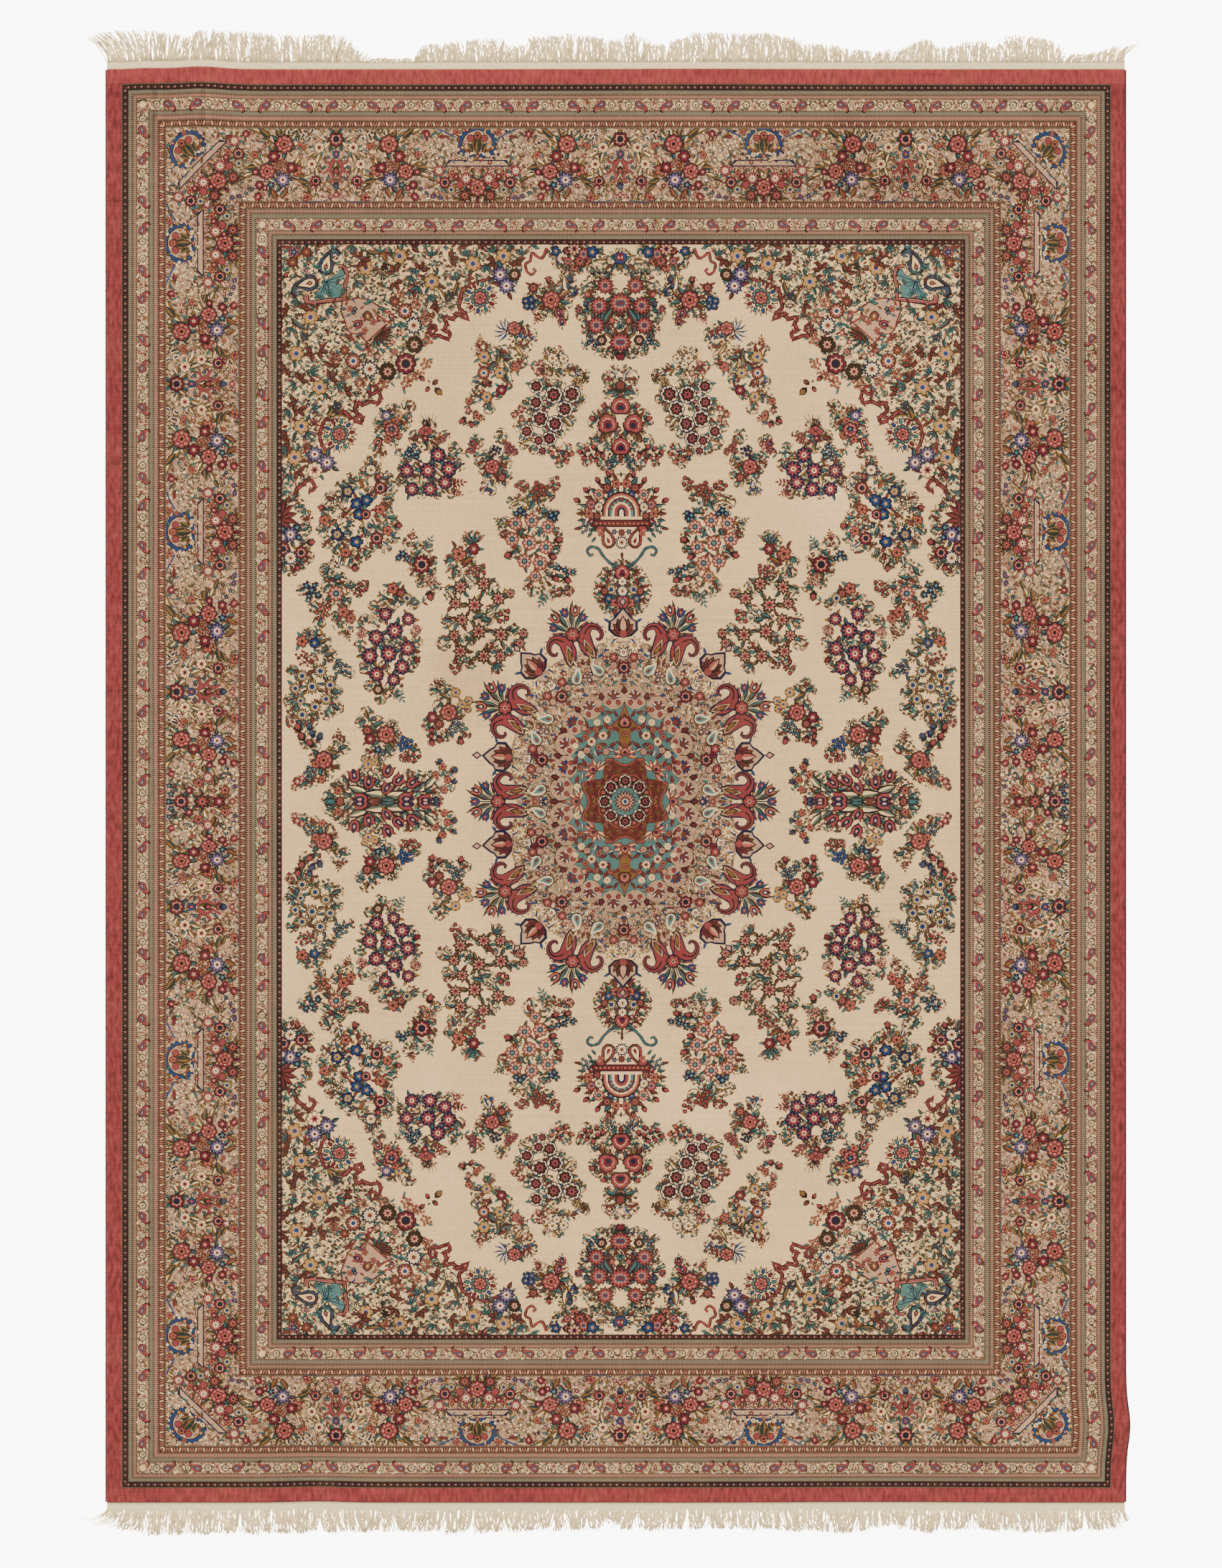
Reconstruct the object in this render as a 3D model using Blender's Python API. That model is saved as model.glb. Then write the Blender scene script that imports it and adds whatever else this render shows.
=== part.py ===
"""Knotted pile rug with overcast sides and a yarn fringe at both ends.

Units are metres, +Z up.  The rug lies face up on the floor (z = 0), long side along Y.
All plan sizes are measured from the centre of the pile; the last step moves the whole rug
so that the centre of its box is at the origin.
"""
import math
import random
from collections import namedtuple

import bmesh
import bpy

# ---- driving sizes, in metres ------------------------------------------------------------
PILE_WIDTH = 2.500           # knotted pile, side to side
PILE_LENGTH = 3.518          # knotted pile, end to end
THICKNESS = 0.008            # foundation and cut pile together
GAP = 0.0003                 # between pieces that touch
BAND_GAP = 0.0010            # between the pile's end and its band, whose columns differ
SELVEDGE_RADIUS = 0.0020     # overcast cord along each long side
FLAT_SHARE = math.cos(math.pi / 6)   # its six-sided section rests on a flat, not a corner
BAND_WIDTH = 0.017           # plain-woven end band, the fringe's backing strip
BAND_THICKNESS = 0.003

# ---- how finely the sheet and its edges are divided ---------------------------------------
COLUMNS = 32
ROWS = 40

# ---- fringe -------------------------------------------------------------------------------
LOCKS = 100                  # locks of yarn at each end
ROOT_SHARE = 0.58            # a lock's root, as a share of the room it has
SHORTEST_LOCK = 0.009
REACH_JITTER = 0.004
LEAN_JITTER = 0.0022

# ---- soft ripples of the cloth: where, how long and wide, which way, how high -------------
Ripple = namedtuple("Ripple", "x y half_length half_width angle_deg height")
RIPPLES = (
    Ripple(1.16, -1.570, 0.30, 0.050, 4.0, 0.0085),      # the crease that bulges the right edge
    Ripple(0.96, -1.150, 0.42, 0.055, 86.0, 0.0060),
    Ripple(1.00, 0.900, 0.34, 0.050, 92.0, 0.0045),
    Ripple(0.55, 1.480, 0.36, 0.055, 2.0, 0.0045),
    Ripple(-1.02, 1.480, 0.20, 0.050, 90.0, 0.0055),
    Ripple(-1.12, 0.350, 0.30, 0.050, 88.0, 0.0035),
    Ripple(-0.72, -1.500, 0.18, 0.050, 94.0, 0.0045),
    Ripple(-0.55, 0.620, 0.30, 0.060, 70.0, 0.0035),
    Ripple(0.62, 0.180, 0.34, 0.060, 98.0, 0.0035),
)
RIPPLE_FLOOR = 0.0005        # what is lower than this lies on the floor
END_FADE = 0.090             # ripples die away over this length before each end

# ---- uneven edges: a swelling of the outline at a place along the edge --------------------
Swelling = namedtuple("Swelling", "at half_width out")
RIGHT_EDGE = (Swelling(-1.571, 0.065, 0.0090),)
TOP_EDGE = (
    Swelling(-1.021, 0.070, 0.0070),
    Swelling(-1.150, 0.050, 0.0030),
    Swelling(0.180, 0.300, 0.0012),
)
BOTTOM_EDGE = (
    Swelling(-0.735, 0.080, -0.0030),
    Swelling(0.640, 0.250, -0.0015),
)
EDGE_FADE = 0.30             # an edge's swelling dies away over this distance inwards

# ---- fringe reach and lean along each end, seen from above --------------------------------
Tuft = namedtuple("Tuft", "x reach lean")
TOP_FRINGE = (
    Tuft(-1.25, 0.066, -0.058), Tuft(-1.20, 0.082, -0.030), Tuft(-1.12, 0.080, -0.004),
    Tuft(-1.06, 0.062, 0.012), Tuft(-1.03, 0.078, 0.000), Tuft(-0.93, 0.078, -0.002),
    Tuft(-0.80, 0.072, 0.002), Tuft(-0.69, 0.072, 0.004), Tuft(-0.64, 0.040, 0.004),
    Tuft(-0.61, 0.014, 0.008), Tuft(-0.50, 0.018, 0.010), Tuft(-0.47, 0.052, 0.000),
    Tuft(-0.40, 0.052, -0.002), Tuft(-0.29, 0.066, 0.002), Tuft(-0.25, 0.034, 0.004),
    Tuft(-0.21, 0.068, 0.000), Tuft(-0.06, 0.074, 0.003), Tuft(0.01, 0.056, -0.004),
    Tuft(0.04, 0.080, 0.000), Tuft(0.08, 0.042, 0.004), Tuft(0.19, 0.074, 0.000),
    Tuft(0.36, 0.080, 0.002), Tuft(0.48, 0.050, 0.000), Tuft(0.57, 0.042, 0.003),
    Tuft(0.66, 0.028, 0.008), Tuft(0.75, 0.062, 0.004), Tuft(0.80, 0.042, 0.002),
    Tuft(0.89, 0.060, 0.004), Tuft(0.93, 0.034, 0.006), Tuft(0.98, 0.070, 0.000),
    Tuft(1.07, 0.062, 0.004), Tuft(1.10, 0.022, 0.008), Tuft(1.17, 0.034, 0.008),
    Tuft(1.22, 0.042, 0.016), Tuft(1.25, 0.054, 0.040),
)
BOTTOM_FRINGE = (
    Tuft(-1.25, 0.026, -0.066), Tuft(-1.225, 0.044, -0.044), Tuft(-1.20, 0.056, -0.024),
    Tuft(-1.14, 0.068, -0.004), Tuft(-1.00, 0.068, 0.000), Tuft(-0.82, 0.062, 0.003),
    Tuft(-0.70, 0.064, 0.000), Tuft(-0.55, 0.060, 0.002), Tuft(-0.40, 0.063, -0.002),
    Tuft(-0.20, 0.058, 0.002), Tuft(-0.06, 0.054, 0.000), Tuft(-0.02, 0.030, 0.004),
    Tuft(0.02, 0.054, 0.000), Tuft(0.15, 0.056, 0.003), Tuft(0.27, 0.050, 0.000),
    Tuft(0.40, 0.058, 0.002), Tuft(0.58, 0.064, 0.000), Tuft(0.68, 0.042, 0.002),
    Tuft(0.76, 0.066, 0.000), Tuft(0.85, 0.052, 0.002), Tuft(1.00, 0.062, 0.000),
    Tuft(1.15, 0.056, 0.004), Tuft(1.22, 0.050, 0.008), Tuft(1.25, 0.034, 0.026),
)
# a lock's cross-sections from root to tip: share of its run, half width as a share of its
# room, height, and how much narrower the top is than the foot
Section = namedtuple("Section", "along half_width height top_share")
LOCK_SECTIONS = (
    Section(0.30, 0.36, 0.0065, 0.60),
    Section(0.72, 0.33, 0.0060, 0.55),
    Section(1.00, 0.13, 0.0030, 0.50),
)

# ---- colours: linear base colour and roughness --------------------------------------------
PILE_COLOUR = (0.48, 0.32, 0.24)
SELVEDGE_COLOUR = (0.16, 0.05, 0.05)
FRINGE_COLOUR = (0.78, 0.70, 0.58)
YARN_ROUGHNESS = 0.85


def smooth_fade(distance, length):
    """1 at distance 0, falling smoothly to 0 at the given length."""
    share = min(max(distance / length, 0.0), 1.0)
    return 1.0 - share * share * (3.0 - 2.0 * share)


def swell(swellings, at):
    """How far an edge stands out at a place along it."""
    return sum(s.out * math.exp(-((at - s.at) / s.half_width) ** 2) for s in swellings)


def lift(x, y):
    """Height of the rug's underside over the floor at a place on the flat rug."""
    height = 0.0
    for r in RIPPLES:
        turn = math.radians(r.angle_deg)
        along = (x - r.x) * math.cos(turn) + (y - r.y) * math.sin(turn)
        across = (y - r.y) * math.cos(turn) - (x - r.x) * math.sin(turn)
        height += r.height * math.exp(-(along / r.half_length) ** 2 - (across / r.half_width) ** 2)
    end_distance = PILE_LENGTH / 2 - abs(y)
    held_down = smooth_fade(end_distance, END_FADE)
    return max(0.0, (height - RIPPLE_FLOOR) * (1.0 - held_down))


def lay(x, y):
    """Where a place on the flat, straight rug comes to lie, with its uneven edges."""
    half_width, half_length = PILE_WIDTH / 2, PILE_LENGTH / 2
    out_right = swell(RIGHT_EDGE, y) * smooth_fade(half_width - x, EDGE_FADE)
    out_top = swell(TOP_EDGE, x) * smooth_fade(half_length - y, EDGE_FADE)
    out_bottom = swell(BOTTOM_EDGE, x) * smooth_fade(half_length + y, EDGE_FADE)
    return x + out_right, y + out_top - out_bottom


def end_edge(x, outward):
    """The pile's end edge at x: straight between the columns of its grid."""
    at = (x / PILE_WIDTH + 0.5) * COLUMNS
    column = min(int(at), COLUMNS - 1)
    near, far = (lay((place / COLUMNS - 0.5) * PILE_WIDTH, outward * PILE_LENGTH / 2)
                 for place in (column, column + 1))
    share = (x - near[0]) / (far[0] - near[0])
    return near[1] + share * (far[1] - near[1])


def yarn_material(name, colour):
    material = bpy.data.materials.new(name)
    material.use_nodes = True
    shader = material.node_tree.nodes["Principled BSDF"]
    shader.inputs["Base Color"].default_value = (*colour, 1.0)
    shader.inputs["Roughness"].default_value = YARN_ROUGHNESS
    shader.inputs["Metallic"].default_value = 0.0
    return material


def add_object(name, mesh_builder, collection, material):
    """Make an object of a finished bmesh."""
    bmesh.ops.recalc_face_normals(mesh_builder, faces=mesh_builder.faces)
    mesh = bpy.data.meshes.new(name)
    mesh_builder.to_mesh(mesh)
    mesh_builder.free()
    obj = bpy.data.objects.new(name, mesh)
    obj.data.materials.append(material)
    collection.objects.link(obj)
    return obj


def thicken_upwards(sheet, thickness):
    """Close an open sheet by extruding all its faces straight up."""
    grown = bmesh.ops.extrude_face_region(sheet, geom=sheet.faces[:])
    raised = [item for item in grown["geom"] if isinstance(item, bmesh.types.BMVert)]
    bmesh.ops.translate(sheet, verts=raised, vec=(0.0, 0.0, thickness))


def build_pile(collection):
    """The knotted sheet: a grid laid over its ripples and closed to its full thickness."""
    sheet = bmesh.new()
    bmesh.ops.create_grid(sheet, x_segments=COLUMNS, y_segments=ROWS, size=0.5)
    for vert in sheet.verts:
        x, y = vert.co.x * PILE_WIDTH, vert.co.y * PILE_LENGTH
        vert.co = (*lay(x, y), lift(x, y))
    thicken_upwards(sheet, THICKNESS)
    return add_object("rug_pile", sheet, collection, yarn_material("pile", PILE_COLOUR))


def build_selvedge(collection, name, side):
    """The overcast cord along one long side; side is -1 on the left and 1 on the right."""
    curve = bpy.data.curves.new(name, "CURVE")
    curve.dimensions = "3D"
    curve.bevel_depth = SELVEDGE_RADIUS
    curve.bevel_resolution = 1
    curve.use_fill_caps = True
    cord = curve.splines.new("POLY")
    cord.points.add(ROWS)
    for row, point in enumerate(cord.points):
        y = (row / ROWS - 0.5) * PILE_LENGTH
        edge_x, edge_y = lay(side * PILE_WIDTH / 2, y)
        centre_x = edge_x + side * (GAP + SELVEDGE_RADIUS)
        centre_z = lift(side * PILE_WIDTH / 2, y) + SELVEDGE_RADIUS * FLAT_SHARE
        point.co = (centre_x, edge_y, centre_z, 1.0)
    curve.materials.append(yarn_material(name, SELVEDGE_COLOUR))
    obj = bpy.data.objects.new(name, curve)
    collection.objects.link(obj)
    return obj


def read_tufts(tufts, x):
    """Reach and lean of the fringe at x, between the two nearest rows of its table."""
    x = min(max(x, tufts[0].x), tufts[-1].x)
    for near, far in zip(tufts, tufts[1:]):
        if x <= far.x:
            share = (x - near.x) / (far.x - near.x)
            reach = near.reach + share * (far.reach - near.reach)
            return reach, near.lean + share * (far.lean - near.lean)
    return tufts[-1].reach, tufts[-1].lean


def root_edges():
    """Places along the band where a lock's root starts or ends, from left to right."""
    room = PILE_WIDTH / LOCKS
    edges = [-PILE_WIDTH / 2]
    for lock in range(LOCKS):
        middle = -PILE_WIDTH / 2 + (lock + 0.5) * room
        edges += [middle - ROOT_SHARE * room / 2, middle + ROOT_SHARE * room / 2]
    return edges + [PILE_WIDTH / 2]


def grow_lock(band, root, outward, room, reach, lean):
    """Draw a lock of yarn out of its root face, its foot resting on the floor."""
    middle = root.calc_center_median()
    left, right = (min(v.co.x for v in root.verts), max(v.co.x for v in root.verts))
    centre_x = (left + right) / 2
    for section in LOCK_SECTIONS:
        grown = bmesh.ops.extrude_discrete_faces(band, faces=[root])
        root = grown["faces"][0]
        at_x = centre_x + lean * section.along ** 2
        at_y = middle.y + outward * reach * section.along
        half = section.half_width * room
        top_z = max(v.co.z for v in root.verts)
        middle_x = sum(v.co.x for v in root.verts) / 4
        for vert in root.verts:
            is_top = vert.co.z > top_z / 2
            side = 1 if vert.co.x > middle_x else -1
            width = half * (section.top_share if is_top else 1.0)
            vert.co = (at_x + side * width, at_y, section.height if is_top else 0.0)


def build_fringe(collection, name, outward, tufts, seed):
    """One end's woven band and its locks; outward is 1 at the top end and -1 at the bottom."""
    random_source = random.Random(seed)
    band = bmesh.new()
    edges = root_edges()
    bmesh.ops.create_grid(band, x_segments=len(edges) - 1, y_segments=1, size=0.5)
    for vert in band.verts:
        column = round((vert.co.x + 0.5) * (len(edges) - 1))
        x = edges[column]
        is_outer = vert.co.y * outward > 0
        edge_y = end_edge(x, outward)
        vert.co = (x, edge_y + outward * (BAND_GAP + (BAND_WIDTH if is_outer else 0.0)), 0.0)
    thicken_upwards(band, BAND_THICKNESS)
    bmesh.ops.recalc_face_normals(band, faces=band.faces)
    outer = [f for f in band.faces if f.normal.y * outward > 0.7]
    outer.sort(key=lambda face: face.calc_center_median().x)
    room = PILE_WIDTH / LOCKS
    for root in outer[1::2]:
        x = root.calc_center_median().x
        reach, lean = read_tufts(tufts, x)
        reach = max(SHORTEST_LOCK, reach + random_source.uniform(-1, 1) * REACH_JITTER)
        lean += random_source.uniform(-1, 1) * LEAN_JITTER
        grow_lock(band, root, outward, room, reach, lean)
    return add_object(name, band, collection, yarn_material(name, FRINGE_COLOUR))


def centre_on_origin(objects):
    """Move the pieces so that the middle of the whole rug's box stands over the origin."""
    depsgraph = bpy.context.evaluated_depsgraph_get()
    points = []
    for obj in objects:
        evaluated = obj.evaluated_get(depsgraph)
        mesh = evaluated.to_mesh()
        points += [obj.matrix_world @ v.co for v in mesh.vertices]
        evaluated.to_mesh_clear()
    middle_x = (min(p.x for p in points) + max(p.x for p in points)) / 2
    middle_y = (min(p.y for p in points) + max(p.y for p in points)) / 2
    floor_z = min(p.z for p in points)
    for obj in objects:
        obj.location = (-middle_x, -middle_y, -floor_z)


def main():
    for obj in list(bpy.data.objects):
        bpy.data.objects.remove(obj, do_unlink=True)
    rug = bpy.data.collections.new("persian_rug")
    bpy.context.scene.collection.children.link(rug)
    pieces = [
        build_pile(rug),
        build_selvedge(rug, "selvedge_left", -1),
        build_selvedge(rug, "selvedge_right", 1),
        build_fringe(rug, "fringe_top", 1, TOP_FRINGE, seed=11),
        build_fringe(rug, "fringe_bottom", -1, BOTTOM_FRINGE, seed=23),
    ]
    bpy.context.view_layer.update()
    centre_on_origin(pieces)


main()
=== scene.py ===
"""A hand-knotted medallion rug, laid flat on a pale studio floor.

The design is drawn once for a quarter of the rug, as flat shapes of one dye each, the way a
weaver's cartoon is.  It is woven into the pile as one seamless sheet and mirrored to the other
three quarters.  Its unit is the square of the cartoon; everything else is in metres.
"""
import math
import random
from collections import namedtuple

import bpy
import numpy as np
from bpy.props import FloatProperty, FloatVectorProperty, IntProperty, PointerProperty
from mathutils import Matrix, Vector
from mathutils.bvhtree import BVHTree
from mathutils.geometry import delaunay_2d_cdt


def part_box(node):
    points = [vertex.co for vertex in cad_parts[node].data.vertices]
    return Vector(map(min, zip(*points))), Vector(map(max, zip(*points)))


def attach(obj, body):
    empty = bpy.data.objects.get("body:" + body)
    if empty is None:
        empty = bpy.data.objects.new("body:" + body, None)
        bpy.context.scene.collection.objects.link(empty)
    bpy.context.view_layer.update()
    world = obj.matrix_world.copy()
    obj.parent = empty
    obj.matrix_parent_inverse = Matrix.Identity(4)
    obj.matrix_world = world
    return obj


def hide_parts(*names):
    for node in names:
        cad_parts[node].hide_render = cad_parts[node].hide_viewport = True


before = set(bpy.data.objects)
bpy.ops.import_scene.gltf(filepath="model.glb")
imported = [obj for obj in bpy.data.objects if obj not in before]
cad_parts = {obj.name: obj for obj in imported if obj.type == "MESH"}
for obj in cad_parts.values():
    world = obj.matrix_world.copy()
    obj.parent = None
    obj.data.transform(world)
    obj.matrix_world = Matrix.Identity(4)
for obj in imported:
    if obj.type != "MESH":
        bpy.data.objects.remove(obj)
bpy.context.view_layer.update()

bl_info = {
    "name": "Medallion rug",
    "version": (1, 0, 0),
    "blender": (4, 5, 0),
    "location": "View3D > Sidebar > Rug",
    "description": "Weaves the pile, side cords, end bands and fringe of a medallion rug",
    "category": "Add Mesh",
}

# ---- the cloth, in metres ------------------------------------------------------------------
PILE_WIDTH = 2.500
PILE_LENGTH = 3.518
THICKNESS = 0.008
PILE_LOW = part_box("rug_pile")[0]
MIDDLE_X = PILE_LOW[0] + PILE_WIDTH / 2
MIDDLE_Y = PILE_LOW[1] + PILE_LENGTH / 2

# soft ripples, as in the frame: where, how long and wide, which way, how high
Ripple = namedtuple("Ripple", "x y half_length half_width angle_deg height")
RIPPLES = (
    Ripple(1.16, -1.570, 0.30, 0.050, 4.0, 0.0085),
    Ripple(0.96, -1.150, 0.42, 0.055, 86.0, 0.0060),
    Ripple(1.00, 0.900, 0.34, 0.050, 92.0, 0.0045),
    Ripple(0.55, 1.480, 0.36, 0.055, 2.0, 0.0045),
    Ripple(-1.02, 1.480, 0.20, 0.050, 90.0, 0.0055),
    Ripple(-1.12, 0.350, 0.30, 0.050, 88.0, 0.0035),
    Ripple(-0.72, -1.500, 0.18, 0.050, 94.0, 0.0045),
    Ripple(-0.55, 0.620, 0.30, 0.060, 70.0, 0.0035),
    Ripple(0.62, 0.180, 0.34, 0.060, 98.0, 0.0035),
)
RIPPLE_FLOOR = 0.0005
END_FADE = 0.090

# the outline's swellings, as in the frame: place along the edge, half width, how far out
Swelling = namedtuple("Swelling", "at half_width out")
RIGHT_EDGE = (Swelling(-1.571, 0.065, 0.0090),)
TOP_EDGE = (
    Swelling(-1.021, 0.070, 0.0070),
    Swelling(-1.150, 0.050, 0.0030),
    Swelling(0.180, 0.300, 0.0012),
)
BOTTOM_EDGE = (
    Swelling(-0.735, 0.080, -0.0030),
    Swelling(0.640, 0.250, -0.0015),
)
EDGE_FADE = 0.30

# ---- the cartoon, in squares ----------------------------------------------------------------
SQUARE = 0.0017643            # one square, in metres
HALF_WIDTH = PILE_WIDTH / 2 / SQUARE
HALF_LENGTH = PILE_LENGTH / 2 / SQUARE
BORDER = 237.0                # all the border stripes together
FIELD_U = HALF_WIDTH - BORDER
FIELD_V = HALF_LENGTH - BORDER
STEP = 24.0                   # the sheet is divided at least this finely, to follow ripples
EDGE_STEP = 7.0               # and its edges this finely, to meet the cords and bands
EDGE_ROUND = 2.0              # squares over which the pile's edge turns down

# where the weaver's lines came to lie, from the middle of the rug: drawn place, woven place
ACROSS = ((-HALF_WIDTH, -HALF_WIDTH), (-FIELD_U, -464.6), (0.0, 6.0), (FIELD_U, 479.0),
          (HALF_WIDTH, HALF_WIDTH))
ALONG = ((-HALF_LENGTH, -HALF_LENGTH), (-FIELD_V, -763.4), (0.0, -21.9), (FIELD_V, 753.0),
         (HALF_LENGTH, HALF_LENGTH))
BOW = 7.0                     # the middle line bows to the right half way along
BOW_LENGTH = 330.0

# ---- dyes, sRGB ------------------------------------------------------------------------------
DYES = {
    "cream": (234, 203, 156), "ivory": (232, 208, 170), "sand": (206, 178, 134),
    "beige_rose": (194, 160, 132), "red": (150, 76, 76), "crimson": (124, 48, 60),
    "brick": (130, 74, 64), "russet": (120, 68, 52), "rust": (98, 58, 46),
    "maroon": (64, 38, 38),
    "salmon": (176, 106, 90), "pink": (166, 120, 104), "rose": (154, 82, 80),
    "blush": (202, 156, 130), "ochre": (144, 110, 64), "gold": (182, 146, 96),
    "olive": (84, 74, 50), "bronze": (74, 56, 38), "brown": (60, 44, 40),
    "teal": (82, 118, 116), "aqua": (104, 136, 130), "sage": (112, 118, 100),
    "navy": (38, 42, 70), "blue": (58, 82, 118), "slate": (80, 88, 102),
    "lavender": (126, 108, 132), "ink": (46, 42, 44), "fern": (58, 76, 70),
    "moss": (92, 90, 66), "wheat": (196, 166, 134),
}
STEEP_STRENGTH = 0.95
STEEP_DEPTH = 1.30            # dyes look paler in bright light, so they're steeped deeper


def linear(rgb):
    """A linear colour of an sRGB one given in whole numbers."""
    shares = [value / 255.0 for value in rgb]
    return tuple(s / 12.92 if s <= 0.04045 else ((s + 0.055) / 1.055) ** 2.4 for s in shares)


def steep(shares):
    """The colour of wool dyed to look like a linear colour under the studio's light."""
    return (*(STEEP_STRENGTH * share ** STEEP_DEPTH for share in shares[:3]), 1.0)


# ---- how the cloth lies ----------------------------------------------------------------------
def smooth_fade(distance, length):
    """1 at distance 0, falling smoothly to 0 at the given length."""
    share = np.clip(distance / length, 0.0, 1.0)
    return 1.0 - share * share * (3.0 - 2.0 * share)


def swell(swellings, at):
    """How far an edge stands out at places along it."""
    return sum(s.out * np.exp(-((at - s.at) / s.half_width) ** 2) for s in swellings)


def lift(x, y):
    """Height of the rug's underside over the floor at places on the flat rug."""
    height = np.zeros_like(x)
    for r in RIPPLES:
        turn = math.radians(r.angle_deg)
        along = (x - r.x) * math.cos(turn) + (y - r.y) * math.sin(turn)
        across = (y - r.y) * math.cos(turn) - (x - r.x) * math.sin(turn)
        height += r.height * np.exp(-(along / r.half_length) ** 2 - (across / r.half_width) ** 2)
    held_down = smooth_fade(PILE_LENGTH / 2 - np.abs(y), END_FADE)
    return np.maximum(0.0, (height - RIPPLE_FLOOR) * (1.0 - held_down))


def lay(x, y):
    """Where places on the flat, straight rug come to lie, with its uneven edges."""
    half_width, half_length = PILE_WIDTH / 2, PILE_LENGTH / 2
    out_right = swell(RIGHT_EDGE, y) * smooth_fade(half_width - x, EDGE_FADE)
    out_top = swell(TOP_EDGE, x) * smooth_fade(half_length - y, EDGE_FADE)
    out_bottom = swell(BOTTOM_EDGE, x) * smooth_fade(half_length + y, EDGE_FADE)
    return x + out_right, y + out_top - out_bottom


def woven(s, t):
    """Where drawn places, in squares right of and above the middle, are woven, in metres."""
    across = np.interp(s, *zip(*ACROSS))
    along = np.interp(t, *zip(*ALONG))
    inside = np.clip(1.0 - np.abs(s) / FIELD_U, 0.0, 1.0)
    across = across + BOW * inside * np.exp(-(t / BOW_LENGTH) ** 2)
    return across * SQUARE, along * SQUARE


def on_rug(s, t, height=THICKNESS):
    """World places of drawn places, at a height in the cloth; also their upward normals."""
    flat_x, flat_y = woven(s, t)
    x, y = lay(flat_x, flat_y)
    z = lift(flat_x, flat_y)
    small = 0.004
    slope_x = (lift(flat_x + small, flat_y) - lift(flat_x - small, flat_y)) / (2 * small)
    slope_y = (lift(flat_x, flat_y + small) - lift(flat_x, flat_y - small)) / (2 * small)
    places = np.stack([x + MIDDLE_X, y + MIDDLE_Y, z + height], axis=-1)
    normals = np.stack([-slope_x, -slope_y, np.ones_like(slope_x)], axis=-1)
    return places, normals / np.linalg.norm(normals, axis=-1, keepdims=True)


# ---- how motifs change with their size, in squares -------------------------------------------
FINEST = 1.2                  # rings of petals smaller than this are left out
TWO_TONE = 11.0               # leaves from this long have halves of two dyes
SMALL_LEAF = 7.0              # leaves shorter than this are one dye
SMALL_FLOWER = 6.0            # flowers smaller than this have three rings at most
LEAST_STEM = 5.0              # motifs nearer or further than this have no stem between them
LONGEST_STEM = 30.0
LEAF_STEM = 11.0              # stems from this long carry a pair of leaves
STEM_LEAF = 9.5               # the longest of those leaves
STEM_BEND = 0.16              # how far a stem bows, as a share of its length
LEAFY = 8.0                   # flowers from this big have leaves behind them
GOLDEN_ANGLE = 137.5
STEM_LEAVES = ("teal", "mixed", "rust", "ochre")


# ---- drawing the cartoon ---------------------------------------------------------------------
class Cartoon:
    """The drawing of a quarter: flat shapes of one dye each, later ones over earlier ones."""

    def start(self):
        self.shapes = []
        self.taken = []           # where each motif is, and its radius
        self.limit = (math.inf, math.inf)     # shapes stop at this far right and up


CARTOON = Cartoon()


class Spot:
    """A place on the cartoon with its own turn and size, in which a motif is drawn."""

    def __init__(self, origin=(0.0, 0.0), axes=((1.0, 0.0), (0.0, 1.0))):
        self.origin = np.array(origin, dtype=float)
        self.axes = np.array(axes, dtype=float)

    def at(self, x, y, turn=0.0, size=1.0, flip=1):
        """A spot at a local place, turned by degrees, scaled, and mirrored if flip is -1."""
        a = math.radians(turn)
        own = size * np.array(((math.cos(a), math.sin(a)),
                               (-math.sin(a) * flip, math.cos(a) * flip)))
        return Spot(self.out((x, y)), own @ self.axes)

    def out(self, points):
        """Local points as places on the cartoon."""
        return self.origin + np.asarray(points, dtype=float) @ self.axes

    def reach(self):
        """How many squares one local unit is."""
        return math.sqrt(abs(np.linalg.det(self.axes)))

    def paint(self, points, dye):
        """Adds an outline of local points to the cartoon, in one dye."""
        shape = np.minimum(self.out(points), CARTOON.limit)
        CARTOON.shapes.append((shape, DYE_NUMBER[dye]))


SEEN_MIDDLE = (857.8, 1094.6)     # the middle of the pile in the photograph, in pixels
SQUARES_TO_PIXEL = (0.982, 0.978)     # across and along
ZOOM = 4.3556                     # the scale of most sheets, to a pixel


def seen(x, y, turn=0.0, size=1.0, flip=1):
    """A spot of the upper left quarter at a pixel of the photograph; up is up."""
    across = np.interp(x - SEEN_MIDDLE[0], *zip(*((woven_at, drawn) for drawn, woven_at in ACROSS)))
    along = np.interp(SEEN_MIDDLE[1] - y, *zip(*((woven_at, drawn) for drawn, woven_at in ALONG)))
    inside = max(0.0, 1.0 - abs(across) / FIELD_U)
    across -= BOW * inside * math.exp(-(along / BOW_LENGTH) ** 2)
    axes = ((-SQUARES_TO_PIXEL[0], 0.0), (0.0, SQUARES_TO_PIXEL[1]))
    return Spot((-across, along), axes).at(0, 0, turn, size, flip)


class Sheet:
    """A part of the cartoon read off at a larger scale, from its upper left corner down."""

    def __init__(self, left, top, zoom):
        self.left, self.top, self.zoom = left, top, zoom

    def at(self, x, y, turn=0.0, size=1.0, flip=1):
        return seen(self.left + x / self.zoom, self.top + y / self.zoom, turn,
                    size / self.zoom, flip)


# ---- outlines, about the local origin --------------------------------------------------------
def circle(sides, radius=1.0):
    """A round outline of a few straight sides."""
    angles = np.arange(sides) * 2 * math.pi / sides
    return radius * np.stack([np.cos(angles), np.sin(angles)], axis=1)


def rayed(count, radius=1.0, valley=0.6):
    """A star of pointed petals, two points each."""
    angles = np.arange(2 * count) * math.pi / count
    radii = np.where(np.arange(2 * count) % 2 == 0, radius, radius * valley)
    return radii[:, None] * np.stack([np.cos(angles), np.sin(angles)], axis=1)


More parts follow.
